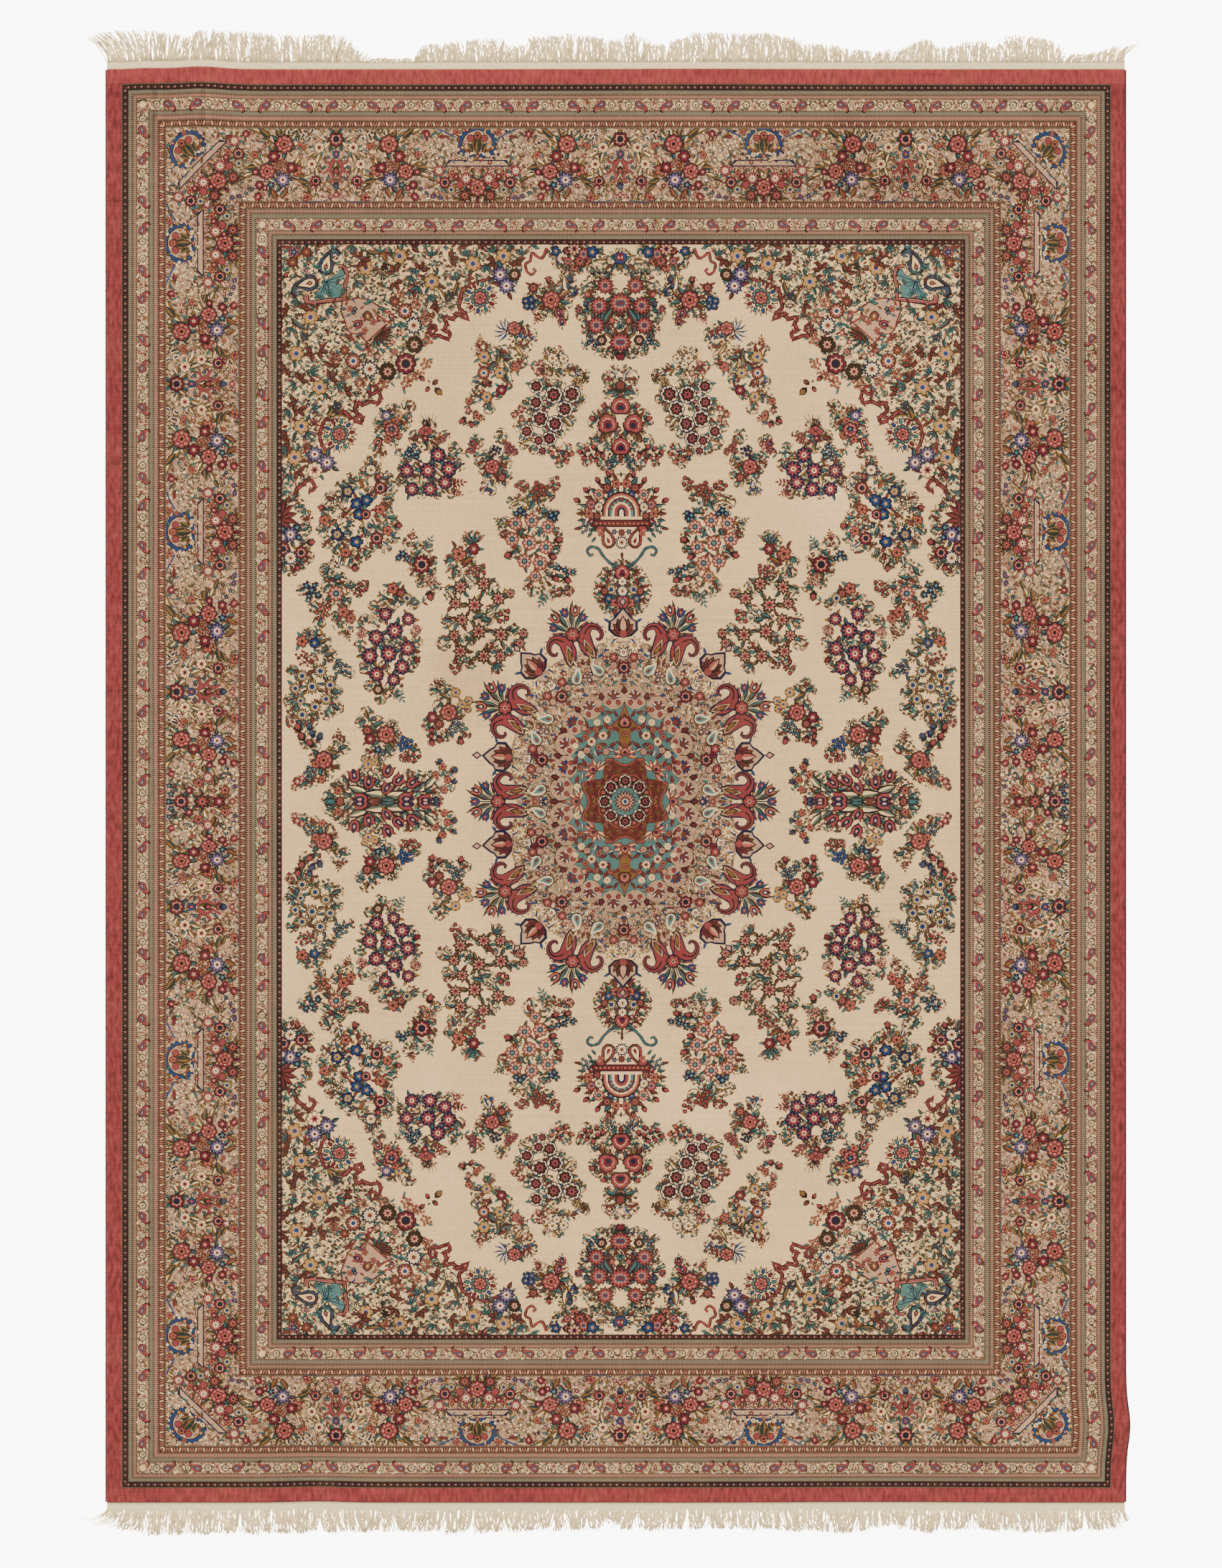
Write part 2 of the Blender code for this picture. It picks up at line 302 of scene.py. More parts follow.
def lobed(count, radius=1.0, valley=0.8):
    """A ring of round petals, three points each."""
    step = 2 * math.pi / count
    angles = (np.arange(count)[:, None] + np.array([-0.24, 0.24, 0.5])) * step
    radii = radius * np.array([1.0, 1.0, valley])[None, :] * np.ones((count, 1))
    return np.stack([(radii * np.cos(angles)).ravel(), (radii * np.sin(angles)).ravel()], axis=1)


def mirrored(half):
    """A closed outline of its half above the x axis, given from left to right."""
    half = list(half)
    return half + [(x, -y) for x, y in reversed(half) if abs(y) > 1e-6]


def all_round(quarter):
    """A closed outline of its first quarter, given from the x axis round to the y axis."""
    return (quarter + [(-x, y) for x, y in quarter[::-1][1:]]
            + [(-x, -y) for x, y in quarter[1:]] + [(x, -y) for x, y in quarter[::-1][1:-1]])


def blade(length=1.0, width=0.4, bend=0.0):
    """A leaf's outline from its stalk at the origin to its tip, its two sides apart."""
    middle = [(0.0, 0.0), (0.33, bend * 0.10), (0.70, bend * 0.40), (1.0, bend)]
    half = [0.0, 0.5, 0.38, 0.0]
    upper = [(x * length, (y + w * width / length) * length) for (x, y), w in zip(middle, half)]
    lower = [(x * length, (y - w * width / length) * length) for (x, y), w in zip(middle, half)]
    spine = [(x * length, y * length) for x, y in middle]
    return upper, lower, spine


def curve_through(points, steps=3):
    """Points on a smooth curve through the given ones."""
    points = np.asarray(points, dtype=float)
    padded = np.vstack([2 * points[0] - points[1], points, 2 * points[-1] - points[-2]])
    result = []
    for k in range(1, len(padded) - 2):
        before, start, end, after = padded[k - 1:k + 3]
        for t in np.arange(steps) / steps:
            result.append(0.5 * (2 * start + (end - before) * t
                                 + (2 * before - 5 * start + 4 * end - after) * t ** 2
                                 + (3 * start - before - 3 * end + after) * t ** 3))
    return np.array(result + [points[-1]])


def band_along(points, *widths, steps=3):
    """The outline of a stem or tendril along a smooth curve, its widths spread along it."""
    line = curve_through(points, steps)
    along = np.gradient(line, axis=0)
    along /= np.linalg.norm(along, axis=1, keepdims=True) + 1e-9
    aside = np.stack([-along[:, 1], along[:, 0]], axis=1)
    shares = np.linspace(0, len(widths) - 1, len(line))
    half = np.interp(shares, range(len(widths)), widths)[:, None] / 2
    return np.vstack([line + aside * half, (line - aside * half)[::-1]])


# flowers seen from above, as rings of petals from the outside in: the petals' form and count,
# the ring's radius, how deep its valleys go, its dye
Ring = namedtuple("Ring", "form count radius valley dye")
FLOWER_RINGS = """
daisy: lobed 8 1 0.74 maroon, lobed 8 0.8 0.5 blush, rayed 6 0.45 0.6 crimson, circle 5 0.2 1 navy
rosette: lobed 8 1 0.84 brick, lobed 8 0.8 0.5 blush, circle 8 0.42 1 navy, circle 6 0.26 1 aqua
star: rayed 8 1.08 0.62 bronze, rayed 8 0.74 0.5 blush, circle 7 0.42 1 rose, circle 5 0.18 1 ink
sunflower: rayed 12 1.05 0.6 bronze, rayed 12 0.78 0.5 sand, circle 7 0.34 1 blue, circle 5 0.16 1 navy
red_star: rayed 8 1.1 0.66 maroon, rayed 8 0.88 0.5 brick, rayed 8 0.5 0.5 salmon, circle 5 0.2 1 navy
crimson: lobed 6 1 0.78 maroon, lobed 6 0.82 0.6 crimson, rayed 5 0.4 0.5 blush
blossom: lobed 5 1 0.62 rust, lobed 5 0.76 0.5 salmon, rayed 5 0.42 0.4 maroon
pansy: lobed 5 1 0.7 navy, lobed 5 0.7 0.6 blue, circle 5 0.3 1 gold
cream: lobed 7 1 0.7 bronze, lobed 7 0.82 0.6 ivory, circle 5 0.34 1 ochre
lavender: rayed 10 1.05 0.7 navy, rayed 10 0.86 0.6 lavender, circle 6 0.4 1 ivory, circle 5 0.2 1 crimson
mum: rayed 9 1.05 0.55 ochre, rayed 9 0.86 0.5 ivory, rayed 6 0.42 0.5 gold
rose: lobed 8 1 0.86 maroon, lobed 8 0.86 0.8 rose, rayed 8 0.72 0.7 blush, lobed 5 0.56 0.8 crimson,
    lobed 5 0.4 0.7 salmon, lobed 3 0.2 0.7 maroon
dark_rose: lobed 8 1 0.84 maroon, lobed 8 0.84 0.8 crimson, rayed 8 0.66 0.7 blush,
    circle 8 0.44 1 maroon, circle 6 0.26 1 navy
dot_red: rayed 5 1 0.55 brick, circle 4 0.4 1 blush
dot_blue: rayed 5 1 0.55 navy, circle 4 0.4 1 aqua
dot_olive: rayed 5 1 0.55 bronze, circle 4 0.46 1 ivory
dot_pink: rayed 5 1 0.55 crimson, circle 4 0.5 1 blush
berry: circle 6 1 1 maroon, circle 5 0.66 1 rose
ochre_eye: lobed 6 1 0.78 bronze, lobed 6 0.88 0.7 gold, circle 7 0.46 1 blush, circle 6 0.3 1 blue
blue_heart: lobed 10 1 0.88 maroon, lobed 10 0.9 0.8 brick, rayed 10 0.74 0.56 blush,
    circle 8 0.42 1 ivory, circle 6 0.3 1 blue
navy_ray: rayed 12 1.1 0.72 navy, rayed 12 0.82 0.7 ivory, circle 8 0.46 1 sand, circle 6 0.26 1 brick
brown: lobed 6 1.06 0.84 brown, lobed 6 0.9 0.8 bronze, rayed 8 0.56 0.6 blush, circle 6 0.22 1 crimson
rust_star: rayed 9 1.05 0.66 bronze, rayed 9 0.82 0.55 brick, circle 5 0.2 1 gold
scallop: lobed 8 1.08 0.9 navy, lobed 8 0.96 0.84 ivory, lobed 7 0.82 0.78 maroon, rayed 7 0.58 0.5 rose,
    circle 5 0.2 1 navy
pinwheel: rayed 9 1.06 0.84 navy, rayed 9 0.96 0.46 rose, circle 6 0.32 1 ivory, circle 5 0.18 1 crimson
fire: rayed 12 1.06 0.74 maroon, rayed 12 0.94 0.6 rose, rayed 8 0.52 0.6 blush, circle 7 0.34 1 slate,
    circle 5 0.18 1 crimson
cream_pink: lobed 8 1 0.76 bronze, lobed 8 0.88 0.72 cream, rayed 6 0.56 0.5 rose, circle 5 0.2 1 maroon
dot_white: rayed 5 1.15 0.6 olive, rayed 5 0.85 0.55 ivory
dot_gold: rayed 5 1 0.6 bronze, circle 5 0.6 1 gold
dot_ink: rayed 5 1.1 0.42 ink, circle 4 0.34 1 blush
dot_rust: rayed 5 1 0.6 rust, circle 4 0.5 1 salmon
grape: circle 6 1 1 brown, circle 5 0.55 1 slate
red_daisy: lobed 6 1 0.84 maroon, lobed 6 0.82 0.7 rose, rayed 6 0.44 0.4 blush, circle 6 0.16 1 maroon
daisy_red: rayed 10 1.05 0.72 crimson, rayed 10 0.8 0.5 blush, circle 6 0.38 1 ivory, circle 5 0.16 1 maroon
"""
PETALS = {"circle": lambda count, radius, _: circle(count, radius), "rayed": rayed, "lobed": lobed}


def rings_of(table):
    """Each flower's name and its rings, from a table."""
    for line in table.replace(",\n", ",").strip().splitlines():
        name, _, rings = line.partition(":")
        rings = [ring.split() for ring in rings.split(",")]
        yield name, [Ring(form, int(count), float(radius), float(valley), dye)
                     for form, count, radius, valley, dye in rings]


FLOWERS = dict(rings_of(FLOWER_RINGS))
LEAF_DYES = {
    "teal": ("ink", "teal", "fern"), "rust": ("brown", "brick", "rust"),
    "ochre": ("bronze", "ochre", "fern"), "mixed": ("ink", "teal", "rust"),
    "grey": ("ink", "sage", "cream"), "cream": ("olive", "ivory", "sand"),
    "navy": ("navy", "blue", "ivory"), "red": ("maroon", "crimson", "brick"),
    "autumn": ("brown", "ochre", "brick"), "lotus": ("brick", "cream", "salmon"),
    "cup": ("maroon", "salmon", "blush"), "loop": ("navy", "beige_rose", "beige_rose"),
    "pale": ("olive", "ivory", "ochre"), "rim": ("navy", "ivory", "sand"),
    "guard": ("olive", "ivory", "gold"),
}


def paint_layers(spot, points, *layers):
    """An outline again and again, each over the one before: how far along x, its size and dye."""
    for x, size, dye in layers:
        spot.at(x, 0, size=size).paint(points, dye)


def draw_flower(spot, kind):
    """A flower seen from above; a small one has its two outer rings and its eye."""
    rings = FLOWERS[kind]
    for ring in rings if spot.reach() > SMALL_FLOWER else rings[:2] + rings[2:][-1:]:
        if ring.radius * spot.reach() >= FINEST:
            points = PETALS[ring.form](ring.count, ring.radius, ring.valley)
            spot.paint(points, ring.dye)


def draw_leaf(spot, dyes, length=1.0, width=0.42, bend=0.0):
    """A leaf of two halves in different dyes within a dark outline, along the local x axis."""
    outline, near_half, far_half = LEAF_DYES[dyes]
    width *= length
    upper, lower, _ = blade(length, width, bend)
    small = length * spot.reach() < SMALL_LEAF
    spot.paint(upper + lower[::-1][1:-1], far_half if small else outline)
    if small:
        return
    inner = spot.at(length * 0.09, bend * length * 0.05, size=0.82)
    upper, lower, spine = blade(length, width * 0.80, bend)
    if length * spot.reach() < TWO_TONE:
        inner.paint(upper + lower[::-1][1:-1], near_half)
    else:
        inner.paint(upper + spine[::-1][1:-1], near_half)
        inner.paint(lower + spine[::-1][1:-1], far_half)


def draw_stem(spot, points, dye="olive", width=1.2):
    """A stem through local points; width is in squares."""
    unit = spot.reach()
    spot.paint(band_along(points, width / unit, 0.7 * width / unit, steps=1), dye)


def draw_head(spot, kind, count, spread, first, size):
    """Flowers packed as seeds are, each turned by the golden angle."""
    for k in range(count):
        turn, radius = k * GOLDEN_ANGLE, spread * math.sqrt((k + first) / count)
        x, y = radius * math.cos(math.radians(turn)), radius * math.sin(math.radians(turn))
        draw_flower(spot.at(x, y, turn, size), kind)


def draw_cluster(spot, kind):
    """A tight head of tiny flowers."""
    draw_head(spot, kind, 9, 0.84, 0.4, 0.95 / 3)


def draw_twig(spot, dyes):
    """A straight twig one unit long, with three pairs of leaves and one at its tip."""
    draw_stem(spot, [(0, 0), (0.5, 0.03), (0.8, 0)], "ink", 0.9)
    for k in range(3):
        x = 0.18 + 0.62 * k / 3
        for side in (1, -1):
            size = 0.36 - 0.03 * k
            draw_leaf(spot.at(x, 0, 48 * side, size), dyes, 1.0, 0.44, 0.12 * side)
    draw_leaf(spot.at(0.74, 0, 0, 0.30), dyes)


TULIP = mirrored([(-0.95, 0.0), (-0.75, 0.45), (-0.15, 0.82), (0.55, 0.80), (1.0, 0.98),
                  (0.72, 0.42), (1.12, 0.0)])
TULIP_HEART = mirrored([(-0.55, 0.0), (-0.25, 0.38), (0.45, 0.34), (0.92, 0.0)])


def draw_tulip(spot, outline="maroon", petals="salmon", heart="navy", eye="ivory"):
    """A flower from the side, opening along the local x axis."""
    paint_layers(spot, TULIP, (0, 1, outline), (0.02, 0.80, petals))
    paint_layers(spot, TULIP_HEART, (0.05, 0.95, heart), (0.10, 0.42, eye))


def draw_bud(spot, outline="maroon", petals="rose"):
    """A small closed flower in its calyx, along the local x axis."""
    spot.paint(mirrored([(-1.0, 0), (-0.4, 0.62), (0.4, 0.66), (1.15, 0.0)]), outline)
    spot.paint(mirrored([(-0.3, 0), (0.0, 0.42), (0.45, 0.42), (0.9, 0.0)]), petals)


BOTEH = ((-0.95, 0.0), (-0.75, 0.62), (-0.10, 0.98), (0.65, 0.85), (1.25, 0.45), (1.75, 0.34),
         (2.08, 0.60), (2.05, 1.00), (1.70, 1.16), (2.30, 1.22), (2.66, 0.62), (2.36, -0.05),
         (1.65, -0.52), (0.80, -0.88), (0.0, -1.0), (-0.70, -0.70))
BOTEH_HEART = ((-0.55, 0.0), (-0.35, 0.38), (0.20, 0.50), (0.85, 0.28), (1.55, -0.05),
               (0.85, -0.40), (0.10, -0.52), (-0.40, -0.34))


def draw_boteh(spot, outline="maroon", body="crimson", heart="slate", eye="blush", piping=None):
    """A paisley drop, its body on the origin and its tip curling up on the right."""
    spot.paint(BOTEH, outline)
    spot.at(0.09, 0.01, size=0.86).paint(BOTEH, body)
    if piping:
        spot.at(0.02, 0, size=1.28).paint(BOTEH_HEART, piping)
    paint_layers(spot, BOTEH_HEART, (0, 1, heart), (0, 0.45, eye))


def draw_scroll(spot, dye, width=1.4):
    """A tendril that starts on the origin, rises and curls back; width is in squares."""
    points, unit = [], spot.reach()
    for t in np.arange(7) / 6:
        angle, radius = math.pi * (1.0 - 1.6 * t), 1.0 - 0.75 * t
        points.append((1.0 + radius * math.cos(angle), radius * math.sin(angle)))
    spot.paint(band_along(points, width / unit, 0.4 * width / unit, steps=2), dye)


def draw_lotus(spot, fan):
    """A lotus from the side: two curved outer petals round a fan of narrow ones."""
    for side in (1, -1):
        draw_leaf(spot.at(-0.7, 0.1 * side, 34 * side, 1.5, side), "cup", 1.0, 0.36, 0.16)
    for turn in (-38, 0, 38):
        draw_leaf(spot.at(-0.7, 0, turn, 1.25), fan, 1.0, 0.34)


def draw_trefoil(spot, dyes):
    """A sprig of three leaves on a dark stem; its foot lies on the left."""
    draw_stem(spot, [(-1.1, -0.15), (-0.5, 0.0), (0.1, 0.0)], "slate", 0.9)
    for turn in (-62, 0, 62):
        draw_leaf(spot.at(-0.05, 0, turn), dyes, 1.0, 0.54, 0.08)


def draw_open_flower(spot, kind):
    """A flower with leaves standing out all round it."""
    for turn, dyes in ((25, "teal"), (115, "rust"), (205, "teal"), (295, "rust")):
        draw_leaf(spot.at(0, 0, turn).at(0.7, 0), dyes, 1.15, 0.42, 0.15)
    draw_flower(spot, kind)


def draw_berries(spot, kind):
    """Berries in pairs along a stalk that starts on the left."""
    draw_stem(spot, [(-1.0, 0), (0.2, 0.08), (0.9, 0)], "olive", 0.8)
    for k in range(4):
        side = 1 if k % 2 else -1
        draw_flower(spot.at(-0.35 + 1.3 * k / 4, 0.28 * side, 0, 0.26), kind)


def draw_spray(spot, kind):
    """A loose spray of tiny flowers."""
    draw_head(spot, kind, 11, 0.92, 0.5, 0.17)


def draw_plume(spot, dye):
    """Thin curved hairs fanning from the left."""
    hair = band_along([(0, 0), (0.5, 0.06), (1, 0.22)], 0.07, 0.03, steps=2)
    for turn in (-34, -17, 0, 17, 34):
        spot.at(0, 0, turn).paint(hair, dye)


def draw_fan(spot, dyes):
    """Leaves spread like the rays of a fan."""
    for k in range(6):
        draw_leaf(spot.at(0, 0, (k / 5 - 0.5) * 130), dyes, 1.0, 0.34)


def draw_sun(spot, heart):
    """A large head with narrow rays round a ring of small petals."""
    spot.paint(rayed(20, 1.12, 0.70), "maroon")
    spot.paint(rayed(20, 1.0, 0.62), "cream")
    for k in range(10):
        draw_leaf(spot.at(0, 0, k * 36 + 9).at(0.56, 0), ("red", "navy", "teal")[k % 3], 0.42, 0.66)
    spot.paint(lobed(12, 0.60, 0.86), "maroon")
    spot.paint(lobed(12, 0.52, 0.80), "aqua")
    draw_flower(spot.at(0, 0, size=0.44), heart)


def draw_palmette(spot, petals="rose", heart="crimson", tip="brick"):
    """A scalloped fan palmette, opening along the local x axis."""
    half = [(-0.7, 0.0), (-0.75, 0.45), (-0.45, 0.8), (-0.1, 0.92), (0.05, 0.76), (0.32, 0.85),
            (0.48, 0.60), (0.72, 0.56), (0.76, 0.28), (1.05, 0.0)]
    paint_layers(spot, mirrored(half), (0, 1, "maroon"), (0.03, 0.84, petals), (0, 0.58, "blush"),
                 (-0.05, 0.48, heart), (-0.10, 0.26, "navy"))
    draw_bud(spot.at(1.0, 0, size=0.22), "maroon", tip)


BUD_DYES = {
    "red": ("maroon", "rose"), "crimson": ("maroon", "crimson"), "navy": ("navy", "slate"),
    "blue": ("navy", "blue"), "rust": ("brown", "brick"), "pink": ("rust", "salmon"),
    "brown": ("brown", "ochre"), "grey": ("ink", "sage"),
}
TULIP_DYES = {
    "salmon": ("maroon", "salmon", "navy", "ivory"), "red": ("maroon", "rose", "navy", "blush"),
    "teal": ("ink", "aqua", "teal", "ivory"), "rust": ("brown", "brick", "ochre", "ivory"),
    "navy": ("navy", "blue", "crimson", "blush"), "snow": ("navy", "ivory", "navy", "slate"),
    "crimson": ("maroon", "crimson", "rose", "ivory"), "ochre": ("bronze", "ochre", "blue", "ivory"),
}


# the motifs of the tables: how each is drawn, with the dyes it has when a table names none
MOTIFS = {
    "leaf": (lambda spot, dyes: draw_leaf(spot.at(-0.5, 0), dyes), None),
    "hook": (lambda spot, dyes: draw_leaf(spot.at(-0.5, 0), dyes, 1.0, 0.30, 0.42),
             None),
    "bud": (lambda spot, dyes: draw_bud(spot, *BUD_DYES[dyes]), None),
    "tulip": (lambda spot, dyes: draw_tulip(spot, *TULIP_DYES[dyes]), None),
    "palmette": (lambda spot, _: draw_palmette(spot), None),
    "boteh": (lambda spot, _: draw_boteh(spot), None),
    "cluster": (draw_cluster, None), "twig": (draw_twig, None), "lotus": (draw_lotus, "teal"),
    "trefoil": (draw_trefoil, "rust"), "open": (draw_open_flower, "ochre_eye"),
    "berries": (draw_berries, "berry"), "spray": (draw_spray, "dot_white"),
    "plume": (draw_plume, "ink"), "fan": (draw_fan, "navy"), "sun": (draw_sun, "rose"),
    "scroll": (draw_scroll, "navy"),
}


def draw(spot, kind, dyes=None):
    """One motif of the tables, by its name; spot has its place, size and turn."""
    CARTOON.taken.append((spot.origin, spot.reach() * (0.5 if kind in ("leaf", "hook") else 1.0)))
    if kind in FLOWERS:
        draw_flower(spot, kind)
    else:
        motif, own_dyes = MOTIFS[kind]
        motif(spot, dyes or own_dyes)


def rows_of(table):
    """A table's rows: lines of a motif's name, then where each is, its size and its turn."""
    for line in table.strip().splitlines():
        name, _, rows = line.partition(":")
        for row in rows.split(","):
            x, y, size, *turn = map(float, row.split())
            yield name.strip(), x, y, size, turn[0] if turn else 0.0


def draw_line(sheet, dye, width, *points):
    """A stem or tendril through points of a sheet; width is in squares."""
    places = [sheet.at(x, y).origin for x, y in points]
    Spot().paint(band_along(places, width, 0.7 * width), dye)


def draw_lines(sheet, points, *strokes):
    """Lines through the same points of a sheet, each over the one before: dye and width."""
    for dye, width in strokes:
        draw_line(sheet, dye, width, *points)


def draw_stems(places, dyes="fern"):
    """Stems and small leaves that join each motif to its nearest neighbours, as one plant."""
    places = np.array(places)
    far = np.linalg.norm(places - places[0], axis=1)
    joined, near = np.zeros(len(places), dtype=bool), np.zeros(len(places), dtype=int)
    joined[0] = True
    for number in range(1, len(places)):
        k = int(np.argmin(np.where(joined, np.inf, far)))
        if LEAST_STEM < far[k] < LONGEST_STEM:
            stem = Spot(places[near[k]], (places[k] - places[near[k]],
                                          (places[k] - places[near[k]])[::-1] * (-1, 1)))
            bend = STEM_BEND if number % 2 else -STEM_BEND
            draw_stem(stem, [(0, 0), (0.5, bend), (1, 0)], dyes, 1.5)
            if far[k] > LEAF_STEM:
                size = min(0.55, STEM_LEAF / far[k])
                for side in (1, -1):
                    draw_leaf(stem.at(0.5, bend, 50 * side, size),
                              STEM_LEAVES[(number + side) % len(STEM_LEAVES)], bend=0.1 * side)
        joined[k] = True
        step = np.linalg.norm(places - places[k], axis=1)
        near = np.where(step < far, k, near)
        far = np.minimum(step, far)


def draw_table(sheet, table, stems="fern"):
    """Draw the motifs of a table on its sheet, over the stems and leaves that join them."""
    rows = list(rows_of(table))
    if stems:
        draw_stems([sheet.at(x, y).origin for _, x, y, _, _ in rows], stems)
    for number, (name, x, y, size, turn) in enumerate(rows):
        spot = sheet.at(x, y, 77 * number, size)
        if stems and name in FLOWERS and spot.reach() > LEAFY:
            for side in (0, 120, 240):
                draw_leaf(spot.at(0, 0, side).at(0.6, 0),
                          STEM_LEAVES[(number + side) % len(STEM_LEAVES)], 1.1, 0.5, 0.15)
    for name, x, y, size, turn in rows:
        kind, _, dyes = name.partition(" ")
        draw(sheet.at(x, y, turn, size), kind, dyes or None)


# ---- the fringe and edges, in metres ---------------------------------------------------------
GAP = 0.0003
BAND_GAP = 0.0010
SELVEDGE_RADIUS = 0.0020
BAND_WIDTH = 0.017
BAND_SECTION = ((0.0, 0.0002), (0.0, 0.0022), (0.0008, 0.0028), (0.0080, 0.0030),
                (0.0162, 0.0028), (0.017, 0.0022), (0.017, 0.0002))
RIM = 2.0                     # squares of the cartoon that hang over the pile's edge
PILE_FOOT = 0.0008
BACK_INSET = 0.0030
BACK_FOOT = 0.0003
BACK_THICKNESS = 0.0036
WRAP_PITCH = 0.0030
YARN_PITCH = 0.0016
WEFT_PITCH = 0.0011
BACK_PITCH = 0.0044           # rows of knots on the back
PLIES = 26.0                  # turns of the ply in a full strand
STRAND_RINGS = 5
LOCK_ROOM = 0.025
KNOT_ACROSS = 0.90            # squares to a knot, across and along the rug
KNOT_ALONG = 1.40
END_DOTS = 1.85               # pitch of the dotted lines at the ends and sides, in squares
SIDE_DOTS = 2.80
LATTICE_PITCH, LATTICE_GAP = 2.7, 0.62              # in squares, and the share that is ground
ZIGZAG_PITCH, ZIGZAG_GAP, ZIGZAG_SLOPE = 3.4, 0.66, 1.4
SHEEN_END = 19.0               # how far the end bands are painted lighter, as sheen of the pile's lie, in squares
RED_EDGE = 20.0               # the outermost band, in squares, mottled by hand-spun wool

# tufts of fringe along each end, from left to right: where, how far out, how far it leans
Tuft = namedtuple("Tuft", "x reach lean")
TOP_FRINGE = [Tuft(*row) for row in (
    (-1.25, 0.066, -0.058), (-1.2, 0.082, -0.03), (-1.12, 0.08, -0.004), (-1.06, 0.062, 0.012),
    (-1.03, 0.078, 0), (-0.93, 0.078, -0.002), (-0.8, 0.072, 0.002), (-0.69, 0.072, 0.004),
    (-0.64, 0.04, 0.004), (-0.61, 0.014, 0.008), (-0.5, 0.018, 0.01), (-0.47, 0.052, 0),
    (-0.4, 0.052, -0.002), (-0.29, 0.066, 0.002), (-0.25, 0.034, 0.004), (-0.21, 0.068, 0),
    (-0.06, 0.074, 0.003), (0.01, 0.056, -0.004), (0.04, 0.08, 0), (0.08, 0.042, 0.004),
    (0.19, 0.074, 0), (0.36, 0.08, 0.002), (0.48, 0.05, 0), (0.57, 0.042, 0.003),
    (0.66, 0.028, 0.008), (0.75, 0.062, 0.004), (0.8, 0.042, 0.002), (0.89, 0.06, 0.004),
    (0.93, 0.034, 0.006), (0.98, 0.07, 0), (1.07, 0.062, 0.004), (1.1, 0.022, 0.008),
    (1.17, 0.034, 0.008), (1.22, 0.042, 0.016), (1.25, 0.054, 0.04))]
BOTTOM_FRINGE = [Tuft(*row) for row in (
    (-1.25, 0.026, -0.066), (-1.225, 0.044, -0.044), (-1.2, 0.056, -0.024), (-1.14, 0.068, -0.004),
    (-1, 0.068, 0), (-0.82, 0.062, 0.003), (-0.7, 0.064, 0), (-0.55, 0.06, 0.002),
    (-0.4, 0.063, -0.002), (-0.2, 0.058, 0.002), (-0.06, 0.054, 0), (-0.02, 0.03, 0.004),
    (0.02, 0.054, 0), (0.15, 0.056, 0.003), (0.27, 0.05, 0), (0.4, 0.058, 0.002), (0.58, 0.064, 0),
    (0.68, 0.042, 0.002), (0.76, 0.066, 0), (0.85, 0.052, 0.002), (1, 0.062, 0),
    (1.15, 0.056, 0.004), (1.22, 0.05, 0.008), (1.25, 0.034, 0.026))]

# dyes that carry a woven pattern: stripes of dots, a lattice, a faint zigzag, tiny sprigs; the
# material finds each by its number
DYES.update({"dotted": (178, 148, 120), "lattice": (150, 138, 116), "zigzag": (162, 122, 104),
             "jagged": (126, 92, 80), "sprigged": DYES["beige_rose"], "meadow": DYES["cream"],
             "trellis": DYES["wheat"], "thicket": DYES["cream"]})
DYE_NUMBER = {name: number for number, name in enumerate(DYES)}
PATTERNS = {"dotted": 1, "jagged": 1, "lattice": 2, "zigzag": 3, "sprigged": 4,
            "trellis": 4, "meadow": 5, "thicket": 6}
PATTERN_OF_DYE = np.array([PATTERNS.get(name, 0) for name in DYES])

# the border's stripes, from the edge inwards: where each starts, in squares, and its ground
Stripe = namedtuple("Stripe", "inset dye")
STRIPES = [Stripe(float(inset), dye) for inset, dye in (row.split() for row in """
-2 red, 20 dotted, 21.4 brown, 28.6 jagged, 29.6 lattice, 33.6 dotted, 36.6 zigzag, 39.4 dotted,
41.4 trellis, 56 dotted, 58.2 lattice, 62.2 dotted, 64.4 zigzag, 68.4 dotted, 70.6 rust,
78.2 dotted, 80.4 sprigged, 178 dotted, 180.2 rust, 187.6 dotted, 190.4 zigzag, 192.8 dotted,
196.4 lattice, 200.6 dotted, 202.8 trellis, 217.2 dotted, 219.4 zigzag, 222 dotted, 225.4 lattice,
229.4 jagged, 230.2 maroon, 237 cream
""".split(","))]
OUTER_STUDS, OUTER_GUARD, OUTER_CHAIN, INNER_CHAIN, INNER_GUARD, INNER_STUDS = 2, 8, 14, 18, 24, 30
MAIN_BORDER = 16


def middle_of(number):
    """How far in from the edge a stripe's middle is, in squares."""
    return (STRIPES[number].inset + STRIPES[number + 1].inset) / 2


# ---- the border ------------------------------------------------------------------------------
def along_end(place, inset, stretch=1.0):
    """A spot on the upper border: local x runs away from the middle, local y outwards."""
    return Spot((place, HALF_LENGTH - inset), ((stretch, 0.0), (0.0, 1.0)))


def along_side(place, inset, stretch=1.0):
    """A spot on the side border: local x runs away from the middle, local y outwards."""
    return Spot((HALF_WIDTH - inset, place), ((0.0, stretch), (1.0, 0.0)))


class Strip:
    """A table's drawing sheet laid along the border from an axis of one of its motifs."""

    def __init__(self, spot, left, middle, zoom, way=1):
        self.spot, self.left, self.middle, self.zoom, self.way = spot, left, middle, zoom, way

    def at(self, x, y, turn=0.0, size=1.0, flip=1):
        turned = self.spot.at(0, 0, 0, 1.0).at(self.way * (x - self.left) / self.zoom,
                                               (self.middle - y) / self.zoom)
        if self.way < 0:
            turned.axes = np.array(((-1.0, 0.0), (0.0, 1.0))) @ turned.axes
        return turned.at(0, 0, turn, size / self.zoom, flip)


def each_run(inset):
    """The two straight runs of a stripe: how to place a spot on it, and its length."""
    return ((along_end, HALF_WIDTH - inset), (along_side, HALF_LENGTH - inset))


